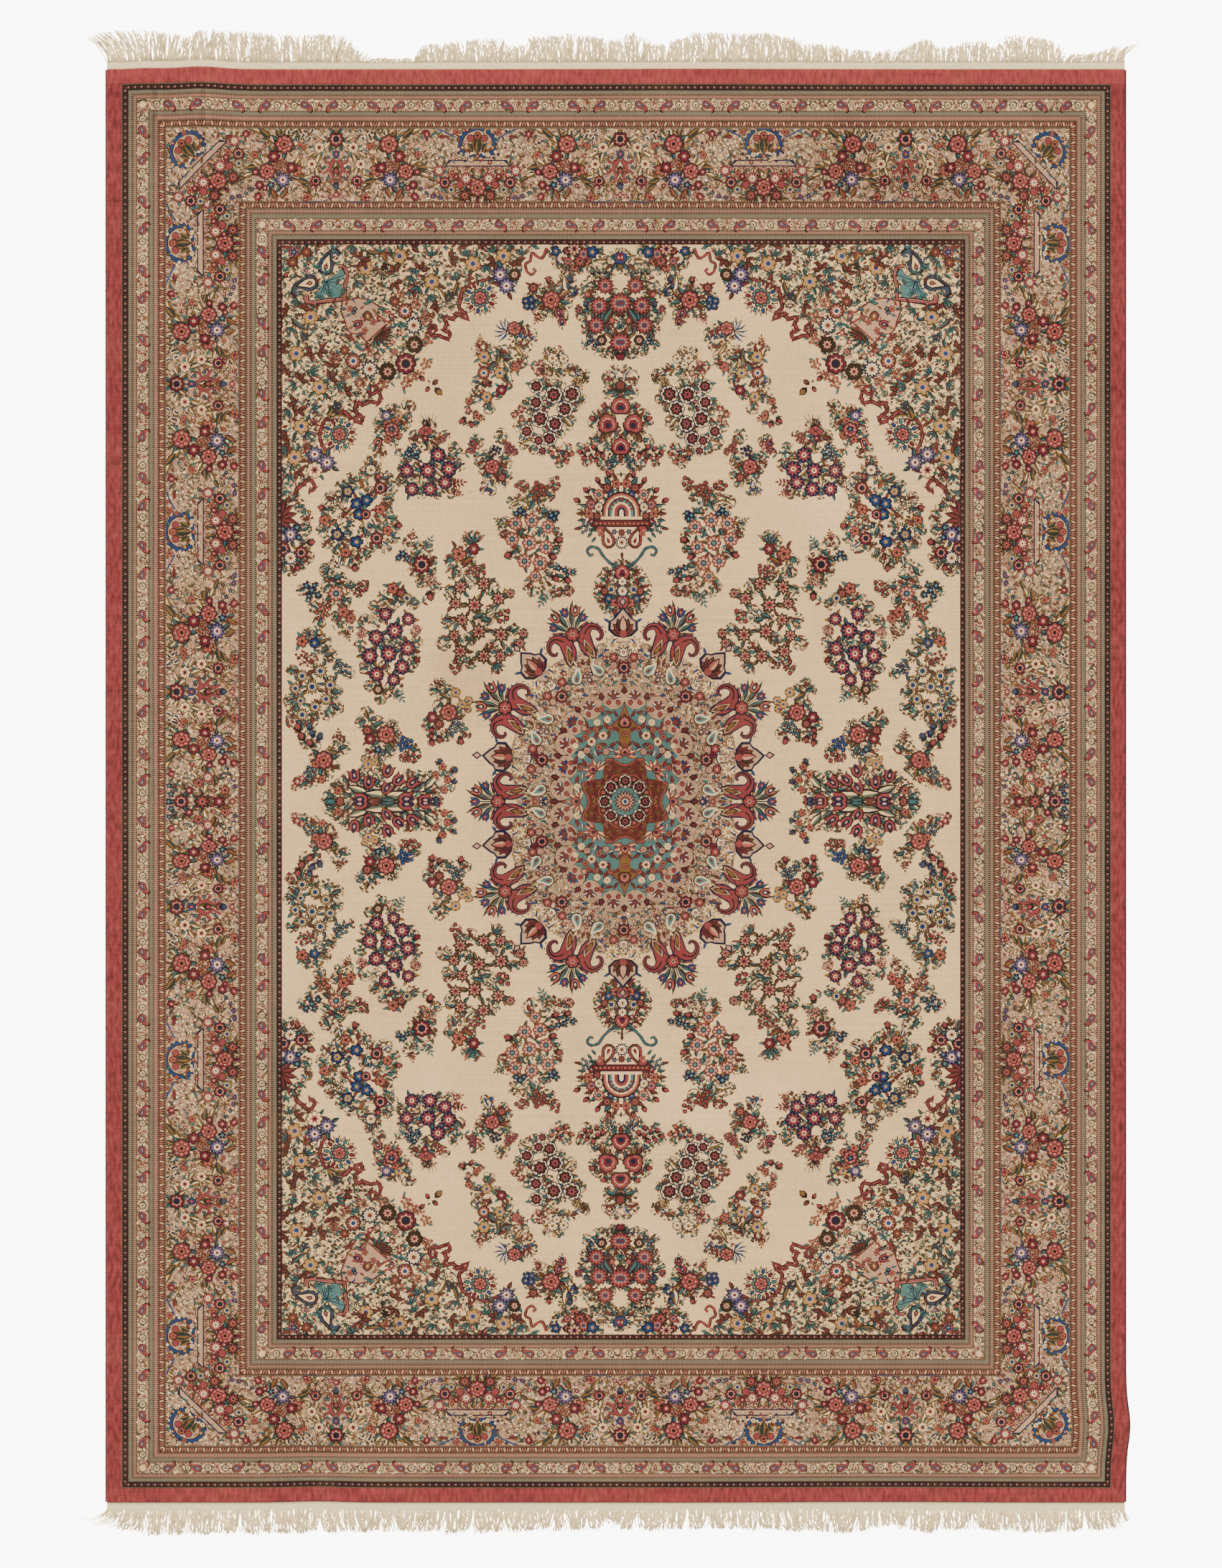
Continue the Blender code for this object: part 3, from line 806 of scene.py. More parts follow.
CHAIN_PITCH = 11.0            # squares from a link to the next
STUD = 1.3                    # half a stud's width
GUARD_REPEAT = 95.6           # a repeat of the guard, and the width that it is drawn for
GUARD_WIDTH = 15.0
CHAIN_LINK = [(-2.5, 2.5), (-2.5, -1.4), (-1.2, -2.7), (1.2, -2.7), (2.5, -1.4), (2.5, 2.5),
              (0.9, 2.5), (0.9, -0.9), (-0.9, -0.9), (-0.9, 2.5)]
CHAIN_BAR = [(-2.0, -2.6), (0.6, -2.6), (2.0, 2.6), (-0.6, 2.6)]


def draw_chain(inset):
    """The narrow chain guard: hooks turned up and down, with slanted bars between them."""
    for run, length in each_run(inset):
        count = round(length / CHAIN_PITCH)
        for k in range(count):
            spot = run((k + 0.25) * length / count, inset)
            flip = 1 if k % 2 else -1
            spot.at(0, 0, 0, 1.0, flip).paint(CHAIN_LINK, "pink")
            bar = run((k + 0.75) * length / count, inset).at(0, 0, 0, 1.0, flip)
            bar.paint(CHAIN_BAR, "sand")
    corner = Spot((HALF_WIDTH - inset, HALF_LENGTH - inset))
    draw_flower(corner.at(0, 0, 45, 3.0), "dot_rust")


def draw_studs(inset, pitch):
    """A stripe of small squares, with a slanted bar after each."""
    size = STUD
    for run, length in each_run(inset):
        count = round(length / pitch)
        for k in range(count):
            spot = run((k + 0.5) * length / count, inset)
            spot.paint([(-size, -size), (size, -size), (size, size), (-size, size)], "pink")
            spot.at(3.4, 0).paint([(-0.7, -size), (1.6, size), (0.6, size), (-1.7, -size)], "brick")


def draw_guard(inset, room):
    """The cream guard: pairs of paisleys between curled rings and little palmettes."""
    for run, length in each_run(inset):
        count = 2 * round((length - room / 2) / GUARD_REPEAT)
        half = (length - room / 2) / count
        for k in range(count):
            spot = run((k + 1) * half, inset, -1.0) if k % 2 else run(k * half, inset)
            unit = half / (GUARD_REPEAT / 2)
            size = room / GUARD_WIDTH
            for x, y, turn in ((5.5, 3.6, 20), (5.5, -3.6, -20), (19.5, 4.4, -30),
                               (19.0, -4.6, 28), (36.5, 4.2, 30), (37.5, -4.4, -24)):
                draw_leaf(spot.at(x * unit - 3.5, y * size, turn, size), "guard", 8.5, 0.36, 0.2)
            for x, radius in ((12.0, 5.2), (40.0, 4.0)):
                ring = spot.at(x * unit, 0, size=radius * size)
                ring.paint(circle(11), "olive")
                ring.paint(circle(9, 0.76), "ivory")
                ring.at(0.12, -0.1).paint(circle(7, 0.50), "olive")
                ring.at(0.2, -0.14).paint(circle(6, 0.26), "cream")
            draw_boteh(spot.at(26.0 * unit, 1.0 * size, -24, 6.0 * size, -1), "maroon", "rose",
                       "slate", "blush")
            for x, top in ((0.0, 1), (GUARD_REPEAT / 2, -1)):
                place = spot.at(x * unit, 0, size=size, flip=top)
                for side in (-3.0, 3.0):
                    place.paint([(side - 1.3, 5.4), (side + 1.3, 5.4), (side, 1.6)], "crimson")
                place.paint([(0, -5.2), (1.7, -2.2), (0, 1.2), (-1.7, -2.2)], "rose")
    corner = Spot((HALF_WIDTH - inset, HALF_LENGTH - inset))
    draw_flower(corner.at(0, 0, 45, room * 0.40), "cream_pink")


# a palmette of the main border with its ring of flowers, on a sheet of its own: its scale,
# the palmette's axis, and the border's middle, down from its outer edge
PALMETTE_ZOOM = 9.8
PALMETTE_AXIS, PALMETTE_MIDDLE = 778, 590
PALMETTE_ROWS = """
hook ochre: 1005 120 90 -60
spray dot_white: 1400 170 110
leaf mixed: 1210 285 70 140
leaf ochre: 1390 380 120 -60, 955 838 80 15, 860 918 80 176, 1160 915 130 62, 1085 1010 80 200
leaf pale: 960 248 150 22, 885 325 150 -52, 1130 452 170 -36, 1020 500 170 -72, 1150 690 150 -96
leaf pale: 1040 672 150 -112, 1015 915 110 -66
leaf navy: 936 186 60 50, 1115 380 60 0, 1175 630 50 -20
leaf loop: 1300 1010 80 60, 1368 972 80 60
tulip snow: 1105 130 42 -60, 1228 195 42 -60, 1140 232 42 -60
blossom: 1275 335 55, 1170 1015 66
cream_pink: 1012 360 80, 1115 580 76
dark_rose: 1062 802 78, 778 250 112
star: 930 908 50
tulip crimson: 1200 1045 34 -20
dot_pink: 850 1005 42, 778 985 52
dot_blue: 893 490 34, 940 617 34, 880 757 34
bud brown: 778 150 55 90
"""
HORNS = (((795, 520), (850, 566), (905, 560), (945, 525)),
         ((790, 540), (850, 585), (885, 660), (962, 708)),
         ((800, 560), (862, 640), (822, 740), (868, 835)))
PALMETTE_HEART = """
leaf pale: 778 645 250 -90
tulip navy: 778 455 62 90
bud red: 778 655 60 -90
tulip rust: 778 815 55 -90
bud navy: 778 865 60 -90
"""

# the cluster of roses beyond it, on the same sheet as the cartouche
CLUSTER_ROWS = """
spray dot_olive: 80 390 44
leaf pale: 160 376 74 100, 112 400 60 135, 262 412 100 46, 330 372 90 22, 60 520 60 150
leaf pale: 95 545 56 110, 330 558 76 30, 396 634 84 -24, 300 545 60 60, 36 642 66 160
leaf pale: 410 770 44 10
leaf ochre: 208 388 66 60, 290 384 100 40, 236 478 60 -60, 376 590 84 -8, 432 655 66 -30
leaf ochre: 52 668 90 196, 40 700 70 204
hook mixed: 440 386 60 200
leaf red: 500 408 60 8
hook pale: 372 540 60 50
leaf autumn: 232 744 84 -120, 168 738 80 -62
leaf mixed: 262 740 60 -84
hook ochre: 440 700 50 30
tulip crimson: 402 388 26 -80, 328 757 28 -50
bud brown: 404 425 14 -90
blossom: 350 513 26, 50 462 22, 96 604 42
dot_pink: 300 470 14, 400 700 16
berries dot_pink: 0 690 40 200
dot_red: 300 745 18, 240 778 18, 66 520 18
crimson: 128 588 36, 235 522 40, 320 690 30, 288 708 20, 345 614 24
cluster dot_rust: 190 578 50
rose: 172 450 60, 275 610 52
dot_blue: 252 690 30, 366 714 17, 400 738 17
lavender: 180 660 52
tulip navy: 442 757 17 160, 486 764 17 165
"""

# one half of a cartouche with its shelf and garland
GARLAND_ROWS = """
spray dot_white: 484 478 78
leaf ochre: 600 374 36 40, 500 556 50 70, 590 606 54 110, 678 614 60 -80, 560 656 60 30
leaf ochre: 575 772 50 190
leaf pale: 445 572 66 125, 420 596 50 160, 540 598 52 70, 650 604 60 -100, 460 690 60 210
leaf pale: 580 700 60 250, 600 752 54 200, 672 776 50 -80
blossom: 574 380 24, 545 628 26
daisy_red: 470 606 38, 634 652 42
dot_pink: 520 592 14, 556 592 14, 590 592 14, 624 592 14, 660 592 14, 690 592 14
dark_rose: 505 676 38
sunflower: 544 718 34
rose: 596 690 26, 703 706 56
crimson: 574 640 22, 650 700 20
red_star: 626 752 40
dot_gold: 680 660 14
dot_red: 490 740 16
bud crimson: 703 775 20 -90
"""
ARCH_INSIDE = """
leaf ochre: 660 470 74 118, 680 440 66 80, 703 460 110 90
leaf autumn: 640 490 60 150
leaf pale: 668 505 44 30
rose: 660 415 24
dot_gold: 612 470 18
dot_pink: 625 440 14
cream: 640 512 18
blossom: 703 400 26
dot_red: 703 520 16
"""

# half way down a side: x away from the middle, y from the middle of the border inwards
SIDE_MIDDLE = """
leaf pale: 40 -60 70 60, 70 20 70 -20, 50 90 70 -60, 150 -40 60 40
leaf ochre: 90 -110 70 30, 110 60 70 10, 30 130 60 -80
leaf mixed: 70 -150 60 60, 140 110 60 -30
spray dot_white: 150 -95 66, 120 140 60
red_star: 0 0 46
dark_rose: 0 -112 40
crimson: 60 -70 26, 0 90 34
blossom: 100 -20 30, 60 120 28
daisy_red: 130 30 34
dot_blue: 40 -165 24, 85 -175 20, 0 -178 24
dot_red: 0 160 24, 60 60 18
"""


# on the cartouche's sheet: the palmette's axis, its own, and the border's middle
CLUSTER_AXIS = -148
BORDER_AXIS = 703
BORDER_MIDDLE = 572


def draw_arch(sheet):
    """The cartouche: a serrated round rim, almost closed, open over its shelf."""
    spot = sheet.at(BORDER_AXIS, 530)
    turns = np.radians(np.linspace(232, -52, 34))
    teeth = np.where(np.arange(34) % 2 == 0, 1.12, 0.98)
    for scale, dye in ((1.0, "navy"), (0.95, "blue"), (0.85, "maroon"), (0.80, "wheat")):
        out = scale * (teeth if scale > 0.9 else np.ones(34))
        arch = np.stack([112 * out * np.cos(turns), 82 + 96 * out * np.sin(turns)], axis=1)
        spot.paint(arch.tolist(), dye)


def draw_shelf(sheet):
    """The narrow pale shelf under the cartouche."""
    spot = sheet.at(BORDER_AXIS, 562)
    for out, down, dye in ((0, 0, "navy"), (14, 7, "beige_rose")):
        spot.paint([(out - 204, down - 20), (204 - out, down - 20), (174 - out, 20 - down),
                    (out - 174, 20 - down)], dye)


# the palmettes: their run and place, and how far each half's cluster reaches, and which way
REACH = 197.0                 # the reach for which the tables hold
DIAGONAL = 0.7071             # the corner's cartouche is turned by half a right angle
PALMETTES = ((along_end, 0.0, ((1, 199.0),)), (along_end, 396.0, ((-1, 197.0), (1, 194.0))),
             (along_side, 150.0, ((-1, 175.0), (1, 216.0))),
             (along_side, 570.0, ((-1, 202.0), (1, 192.0))))
SIDE_ZOOM = 3.92


def draw_main_border():
    """The wide border: palmettes, clusters of roses and cartouches, turning the corner."""
    inset = middle_of(MAIN_BORDER)
    corner = Spot((HALF_WIDTH - inset, HALF_LENGTH - inset),
                  ((DIAGONAL, -DIAGONAL), (DIAGONAL, DIAGONAL)))
    cartouches = [(along_end, 199.0), (along_side, 368.0), (along_side, 762.0)]
    for run, place in cartouches:
        for way in (-1, 1):
            line = ((570, 410), (480, 366), (400, 346), (300, 358), (250, 410))
            strip = Strip(run(place, inset), BORDER_AXIS, BORDER_MIDDLE, ZOOM, -way)
            draw_line(strip, "blue", 2.2, *[(2 * BORDER_AXIS - x, y) for x, y in line])
    for run, place, reaches in PALMETTES:
        for way, reach in reaches:
            spot = run(place, inset, reach / REACH)
            ring = Strip(spot, PALMETTE_AXIS, PALMETTE_MIDDLE, PALMETTE_ZOOM, way)
            draw_line(ring, "slate", 1.3, (868, 1012), (912, 1062), (1050, 1082), (1180, 1080),
                      (1290, 1040), (1450, 915))
            draw_table(ring, PALMETTE_ROWS, "moss")
            for dye, width in (("maroon", 5.0), ("rose", 3.0)):
                for horn in HORNS:
                    draw_line(ring, dye, width, *horn)
            draw_table(ring, PALMETTE_HEART, None)
            draw_table(Strip(spot, CLUSTER_AXIS, BORDER_MIDDLE, ZOOM, way), CLUSTER_ROWS, "moss")
    places = [run(place, inset) for run, place in cartouches] + [corner]
    for spot in places:
        halves = [Strip(spot, BORDER_AXIS, BORDER_MIDDLE, ZOOM, way) for way in (1, -1)]
        for half in halves:
            draw_table(half, GARLAND_ROWS, "moss")
        draw_arch(halves[0])
        for half in halves:
            draw_table(half, ARCH_INSIDE)
        draw_shelf(halves[0])
    middle = along_side(0.0, inset)
    for way in (1, -1):
        draw_table(Strip(middle, 0, 0, SIDE_ZOOM, way), SIDE_MIDDLE, "moss")


def draw_narrow_borders():
    """The stripes of studs, paisleys and chain links, outside and inside the main border."""
    draw_studs(middle_of(OUTER_STUDS), 9.0)
    draw_guard(middle_of(OUTER_GUARD), 14.6)
    draw_chain(middle_of(OUTER_CHAIN))
    draw_chain(middle_of(INNER_CHAIN))
    draw_guard(middle_of(INNER_GUARD), 14.4)
    draw_studs(middle_of(INNER_STUDS), 9.2)


# ---- the field -------------------------------------------------------------------------------
# the sheets that the tables below are drawn on: upper left corner and scale
SPANDREL = Sheet(380, 330, ZOOM)
UPPER = Sheet(640, 330, ZOOM)
MIDDLE_LEFT = Sheet(380, 680, ZOOM)
MIDDLE_RIGHT = Sheet(640, 640, ZOOM)
LOWER = Sheet(380, 960, ZOOM)

# the corner piece: flowers of its meadow, then the vase and what stands along the diagonal
MEADOW_ROWS = """
open ochre_eye: 770 120 52 50, 565 190 52 55, 1215 165 52 45, 1400 120 52 20, 965 275 52 35
open ochre_eye: 230 490 52 50, 145 710 52 55, 285 915 52 15, 175 1150 52 25, 135 1340 52 45
twig teal: 430 125 70 45, 390 155 70 200, 640 250 70 0, 700 125 70 20, 905 130 70 60, 1040 200 70 -60
twig teal: 995 470 70 -30, 190 335 70 200, 140 380 70 240, 285 590 70 -90, 335 690 70 -30, 60 960 70 120
twig teal: 120 870 70 80, 205 990 70 -40, 480 950 70 -10, 110 1255 70 60, 920 250 70 240
twig teal: 1010 180 70 150, 180 830 70 0, 480 255 70 20
trefoil rust: 520 130 62 60, 845 60 62 20, 1080 140 62 10, 1275 78 62 60, 1480 140 62 -60
trefoil rust: 740 215 62 120, 740 280 62 -60, 895 200 62 60, 185 440 62 60, 90 455 62 160
trefoil rust: 285 690 62 -20, 240 705 62 200, 85 800 62 220, 165 870 62 50, 140 1010 62 190
trefoil rust: 160 1045 62 -60, 90 1210 62 200, 150 1425 62 -40, 1350 160 62 200, 1000 415 62 200
trefoil rust: 100 1260 62 200, 440 940 62 30, 75 680 62 140, 545 150 62 -60, 860 320 62 200
trefoil rust: 1180 60 62 120, 350 860 62 40, 360 790 62 80
lotus teal: 480 85 50 250, 652 80 50 90, 965 90 50 90, 1170 92 50 90, 1105 235 50 100, 1290 205 50 250
lotus teal: 1510 85 50 90, 850 222 50 240, 128 400 50 190, 108 580 50 250, 262 815 50 20, 420 910 50 0
lotus teal: 112 905 50 200, 272 1040 50 10, 85 1080 50 230, 225 1215 50 -60, 100 1475 50 250
lotus teal: 520 300 50 -60, 355 460 50 -40, 965 385 50 -60, 835 272 50 250, 1330 70 50 100
lotus teal: 60 1300 50 200, 870 330 50 240
"""
SPANDREL_ROWS = """
leaf teal: 68 170 44 60, 75 205 50 0, 195 170 50 120, 75 130 40 40, 205 50 50 20, 240 130 40 90
leaf teal: 1385 180 50 90, 1500 215 40 30, 300 1460 50 -60, 385 1410 50 -30, 205 1330 40 180
leaf red: 78 65 60 0
leaf rust: 165 50 44 20
spray dot_ink: 650 330 66, 375 592 66
hook pale: 1040 350 130 100, 410 1080 120 160
hook ochre: 1120 330 120 50, 340 1060 110 230, 600 110 110 -30
hook mixed: 140 540 120 -60
leaf autumn: 680 120 80 110
twig rust: 660 250 60 60
leaf navy: 1460 330 50 -50
daisy_red: 130 95 40
pansy: 130 95 24
rust_star: 205 95 40, 122 158 42
bud red: 78 238 22 60, 285 54 24 10
dot_pink: 205 205 18
cluster grape: 1075 362 38, 385 1030 38, 680 182 30, 195 612 32
sun rose: 1258 372 104, 405 1200 104
lavender: 1380 232 56, 1418 300 56, 256 1320 56, 330 1370 56
brown: 1467 232 40
cream_pink: 255 1416 54
"""
DIAGONAL_ROWS = """
leaf teal: 560 470 50 30, 455 480 44 200, 905 445 40 40, 700 400 44 160, 820 345 40 60
leaf teal: 905 555 44 -20, 400 700 40 120, 430 880 44 220, 580 920 44 240, 730 900 40 -50
leaf teal: 875 745 50 20, 985 620 44 0, 800 940 44 -80, 960 745 40 10, 705 680 40 -30
leaf teal: 660 690 44 -60, 620 745 44 -80, 800 610 44 10, 740 545 50 40, 545 720 50 210
leaf teal: 770 850 44 -80, 880 700 40 40, 950 880 30 -40
leaf rust: 450 405 40 60, 545 430 40 40
leaf ochre: 620 455 44 -60, 470 555 44 200
fan teal: 640 590 92 -46
fan rust: 655 575 80 -46
leaf mixed: 808 776 50 40
dot_blue: 500 440 22, 492 462 20
blossom: 470 440 22, 610 520 22, 560 570 22
tulip rust: 575 480 34 -70
tulip red: 520 532 34 200
dot_pink: 545 500 18, 770 585 26, 592 712 26, 725 640 22
cluster dot_rust: 770 352 42, 868 402 44, 928 492 50, 938 626 46, 928 775 42, 845 845 44
cluster dot_rust: 810 888 44, 664 896 46, 535 882 46, 440 838 44, 372 735 44, 888 840 40
rust_star: 742 396 40, 437 690 38
blue_heart: 803 452 50, 490 756 50
navy_ray: 856 540 54, 590 805 54
cream_pink: 690 726 26, 765 645 24
star: 740 700 28, 636 728 26
brown: 860 656 52, 698 820 54
dark_rose: 808 772 68
bud red: 905 860 24 -40, 940 925 22 240
bud rust: 985 885 24 40
bud brown: 1004 938 32 -45
"""
TEAL_PATCH = ((300, 262), (335, 262), (392, 226), (402, 205), (428, 196), (442, 226), (432, 262),
              (398, 282), (420, 300), (418, 340), (408, 372), (372, 380), (330, 350),
              (296, 378), (268, 374), (262, 352), (284, 320), (300, 290))
LACE = ((205, 352), (205, 390), (240, 405), (290, 396), (345, 388), (400, 382), (436, 378),
        (438, 340), (440, 292), (452, 250), (448, 205), (425, 180), (395, 182))
VASE_MOUTH = (318, 275)
VASE_FRONDS = ((430, 235), (395, 280), (345, 330), (310, 345), (285, 360), (410, 330))
VASE = ((418, 388), (520, 368), (590, 382), (632, 412), (655, 425), (632, 470), (612, 500),
        (640, 520), (700, 530), (580, 640), (560, 590), (520, 600), (470, 590), (450, 570),
        (430, 500), (410, 450))
VASE_FOOT = (((712, 520), (728, 534), (590, 662), (576, 648)),
             ((710, 527), (719, 535), (590, 654), (582, 646)))
VASE_SCROLLS = (((640, 520), (640, 480), (670, 500), (705, 520), (735, 500), (728, 470), (700, 478)),
                ((560, 590), (520, 590), (548, 612), (570, 650), (560, 690), (530, 690), (520, 665)),
                ((655, 425), (690, 460), (720, 456)), ((470, 590), (500, 640), (505, 668)))
EDGE_SCROLLS = (
    ((1165, 478), (1120, 476), (1090, 500), (1040, 490), (1055, 530), (1040, 570), (1075, 585),
     (1060, 620), (1000, 600), (960, 600), (950, 570), (962, 540), (990, 545), (985, 572)),
    ((1110, 470), (1150, 480), (1180, 500), (1160, 462), (1130, 430), (1140, 380), (1150, 330),
     (1190, 300), (1240, 280), (1310, 262), (1370, 300)),
    ((520, 1090), (500, 1110), (530, 1130), (545, 1100), (500, 1060), (510, 1010), (550, 1020),
     (600, 1000), (640, 1010), (655, 970), (640, 940), (600, 960), (585, 935), (600, 905),
     (630, 915)),
    ((480, 1110), (430, 1060), (380, 1100), (320, 1110), (300, 1150), (285, 1200), (300, 1260),
     (330, 1300), (350, 1280)),
    ((135, 1568), (150, 1530), (190, 1500), (210, 1475), (245, 1490), (255, 1530), (230, 1545)),
)
TOP_SCROLL = ((530, 72), (505, 130), (470, 120), (440, 100), (430, 150), (400, 170), (410, 215),
              (440, 232), (462, 210), (445, 195))

# pieces of the upper field, on the sheet of the upper middle
UPPER_ROWS = """
leaf teal: 570 100 60 200, 600 160 60 240, 740 195 60 -70, 790 150 60 -50, 840 75 50 0
leaf teal: 570 70 50 170, 575 320 50 60, 515 345 60 150, 470 400 60 190, 640 400 80 -10
leaf teal: 420 370 40 130, 290 860 60 -70, 180 1040 60 -60, 610 820 60 -60, 590 900 60 60
leaf teal: 520 920 60 200, 540 1030 50 40, 735 985 50 -20, 715 920 40 60, 610 1190 50 -70
leaf teal: 410 1015 50 190, 440 1130 40 200, 650 1280 44 80, 610 1375 40 -70, 460 1290 44 190
leaf mixed: 650 200 60 250, 690 205 50 -90, 610 330 90 60, 540 450 60 -110, 240 715 90 100
leaf mixed: 290 735 90 -10, 200 780 90 220, 365 1150 60 190
leaf navy: 835 105 60 -20, 372 600 44 30, 405 608 44 30, 440 618 44 60, 100 880 40 200
leaf navy: 715 830 60 150
leaf pale: 645 290 130 100, 290 790 90 -60, 540 705 50 120, 600 700 50 60, 660 1125 90 -50
leaf pale: 405 1250 80 200
leaf rust: 545 300 50 70, 490 370 66 150, 500 430 66 220, 620 370 70 30, 600 450 80 -60
leaf rust: 345 660 46 -60, 378 665 46 -50, 412 665 44 -50, 370 640 40 -20, 270 700 66 -20
leaf rust: 690 810 60 150, 755 840 54 110, 700 1020 44 -30
leaf autumn: 640 350 60 40
twig red: 495 460 90 240, 125 680 90 90, 520 830 100 130
twig teal: 610 480 90 -80
fan navy: 292 575 88 165, 285 572 60 60
hook red: 400 575 70 80, 430 590 70 80, 170 680 70 70
hook pale: 370 700 100 -70, 345 690 90 -80
leaf ochre: 232 745 70 -110, 610 905 50 60, 440 1060 60 160, 540 1170 50 60
leaf red: 375 760 60 40, 290 900 44 60, 230 960 40 230
hook mixed: 110 960 80 160
blossom: 770 150 34, 700 190 30, 345 792 36, 60 1000 26, 105 1085 26
navy_ray: 626 132 46
red_star: 730 150 50, 655 90 30, 448 312 36
fire: 752 108 44, 655 150 30
pansy: 806 95 42, 585 90 34, 402 392 28, 436 384 26, 408 422 26, 440 424 26
daisy: 697 76 48
bud navy: 672 265 26 110, 664 305 24 120, 704 330 24 100, 690 352 22 140
bud red: 540 268 26 80, 150 895 18 60, 20 1115 26 230, 70 1135 24 -70, 600 1300 20 10
tulip red: 600 460 34 -60, 622 510 30 -90
rose: 556 385 62, 334 558 46
dot_blue: 345 792 14, 100 1130 18, 620 1310 18, 570 1340 18
open ochre_eye: 150 730 42, 245 828 38, 165 972 36
open blue_heart: 148 828 40
crimson: 255 932 36
bud rust: 178 895 22 220
dot_pink: 55 1055 22, 495 770 24, 480 825 22, 375 1045 26
dot_red: 130 1105 20, 520 845 20, 338 1080 26, 378 1110 24
cream: 565 738 38, 632 742 34, 590 780 30
star: 545 830 24
cluster dot_gold: 712 880 40, 760 868 26
scallop: 466 908 44, 572 960 54, 682 956 54, 464 1006 44, 640 1046 50, 490 1106 54, 580 1136 50
scallop: 408 1182 42, 546 1226 46, 480 1238 38, 503 1300 32
bud pink: 560 1310 22 -50, 600 1350 24 -60, 640 1330 20 0, 645 1362 24 -50, 676 1320 22 10
"""
TOP_BOUQUET = """
leaf teal: 965 105 50 90, 930 130 60 160, 935 190 70 240, 900 232 50 60, 765 450 60 180
leaf teal: 930 460 60 60, 965 540 60 90, 770 655 44 210, 838 690 44 240, 940 345 40 60
leaf rust: 905 185 66 220, 800 335 60 170, 900 540 60 100, 945 570 60 110
leaf ochre: 965 185 60 -90
leaf pale: 860 150 80 180
hook mixed: 800 275 60 170, 850 265 50 150, 760 340 60 150, 770 300 50 160, 765 510 60 150
hook mixed: 775 560 60 190, 890 695 70 220, 925 705 70 250
leaf mixed: 810 380 50 160, 740 470 60 190, 880 470 120 70, 905 480 140 60, 890 560 66 110
tulip navy: 965 135 40 90
bud grey: 806 215 26 110, 842 212 24 120, 878 215 22 130
bud pink: 785 355 30 160, 925 520 28 90
tulip red: 725 440 26 170
bud navy: 768 415 24 110
bud red: 965 470 26 90
brown: 862 630 34
dot_blue: 800 622 22, 822 662 22, 786 645 20, 832 640 18
fire: 884 298 56, 846 420 60, 830 540 60, 965 405 68, 965 642 62
bud crimson: 965 722 30 -90
"""
PENDANT = """
hook navy: 945 822 70 120
hook red: 910 856 80 160
leaf navy: 950 850 50 100
leaf rust: 930 925 80 130, 880 1095 70 150, 850 1080 60 130, 865 1215 80 240, 975 1345 66 -90
leaf teal: 915 945 80 200, 950 960 60 120, 895 1045 50 200, 815 1128 50 210, 830 1090 50 120
leaf teal: 905 1110 70 30, 815 1225 34 160, 890 1260 50 200, 735 1280 40 140, 855 1370 40 -80
leaf teal: 770 1365 40 240, 800 1260 36 110, 905 1290 40 160, 935 1330 60 230, 945 1350 50 250
leaf ochre: 890 1210 80 250
leaf red: 920 1190 60 250
leaf mixed: 955 1190 60 90
bud rust: 970 915 44 90
bud red: 880 1030 26 160, 812 1105 28 170, 815 1280 26 120, 775 1290 24 130, 735 1308 24 160
bud red: 838 1310 24 -80, 868 1325 26 -70, 798 1335 22 -100, 760 1340 22 -110, 830 1355 22 -80
palmette: 970 1032 66 90, 900 1140 74 105, 975 1278 68 90
dot_blue: 830 1235 22
cluster dot_blue: 915 1378 46
dot_red: 880 1412 14, 920 1420 14
"""

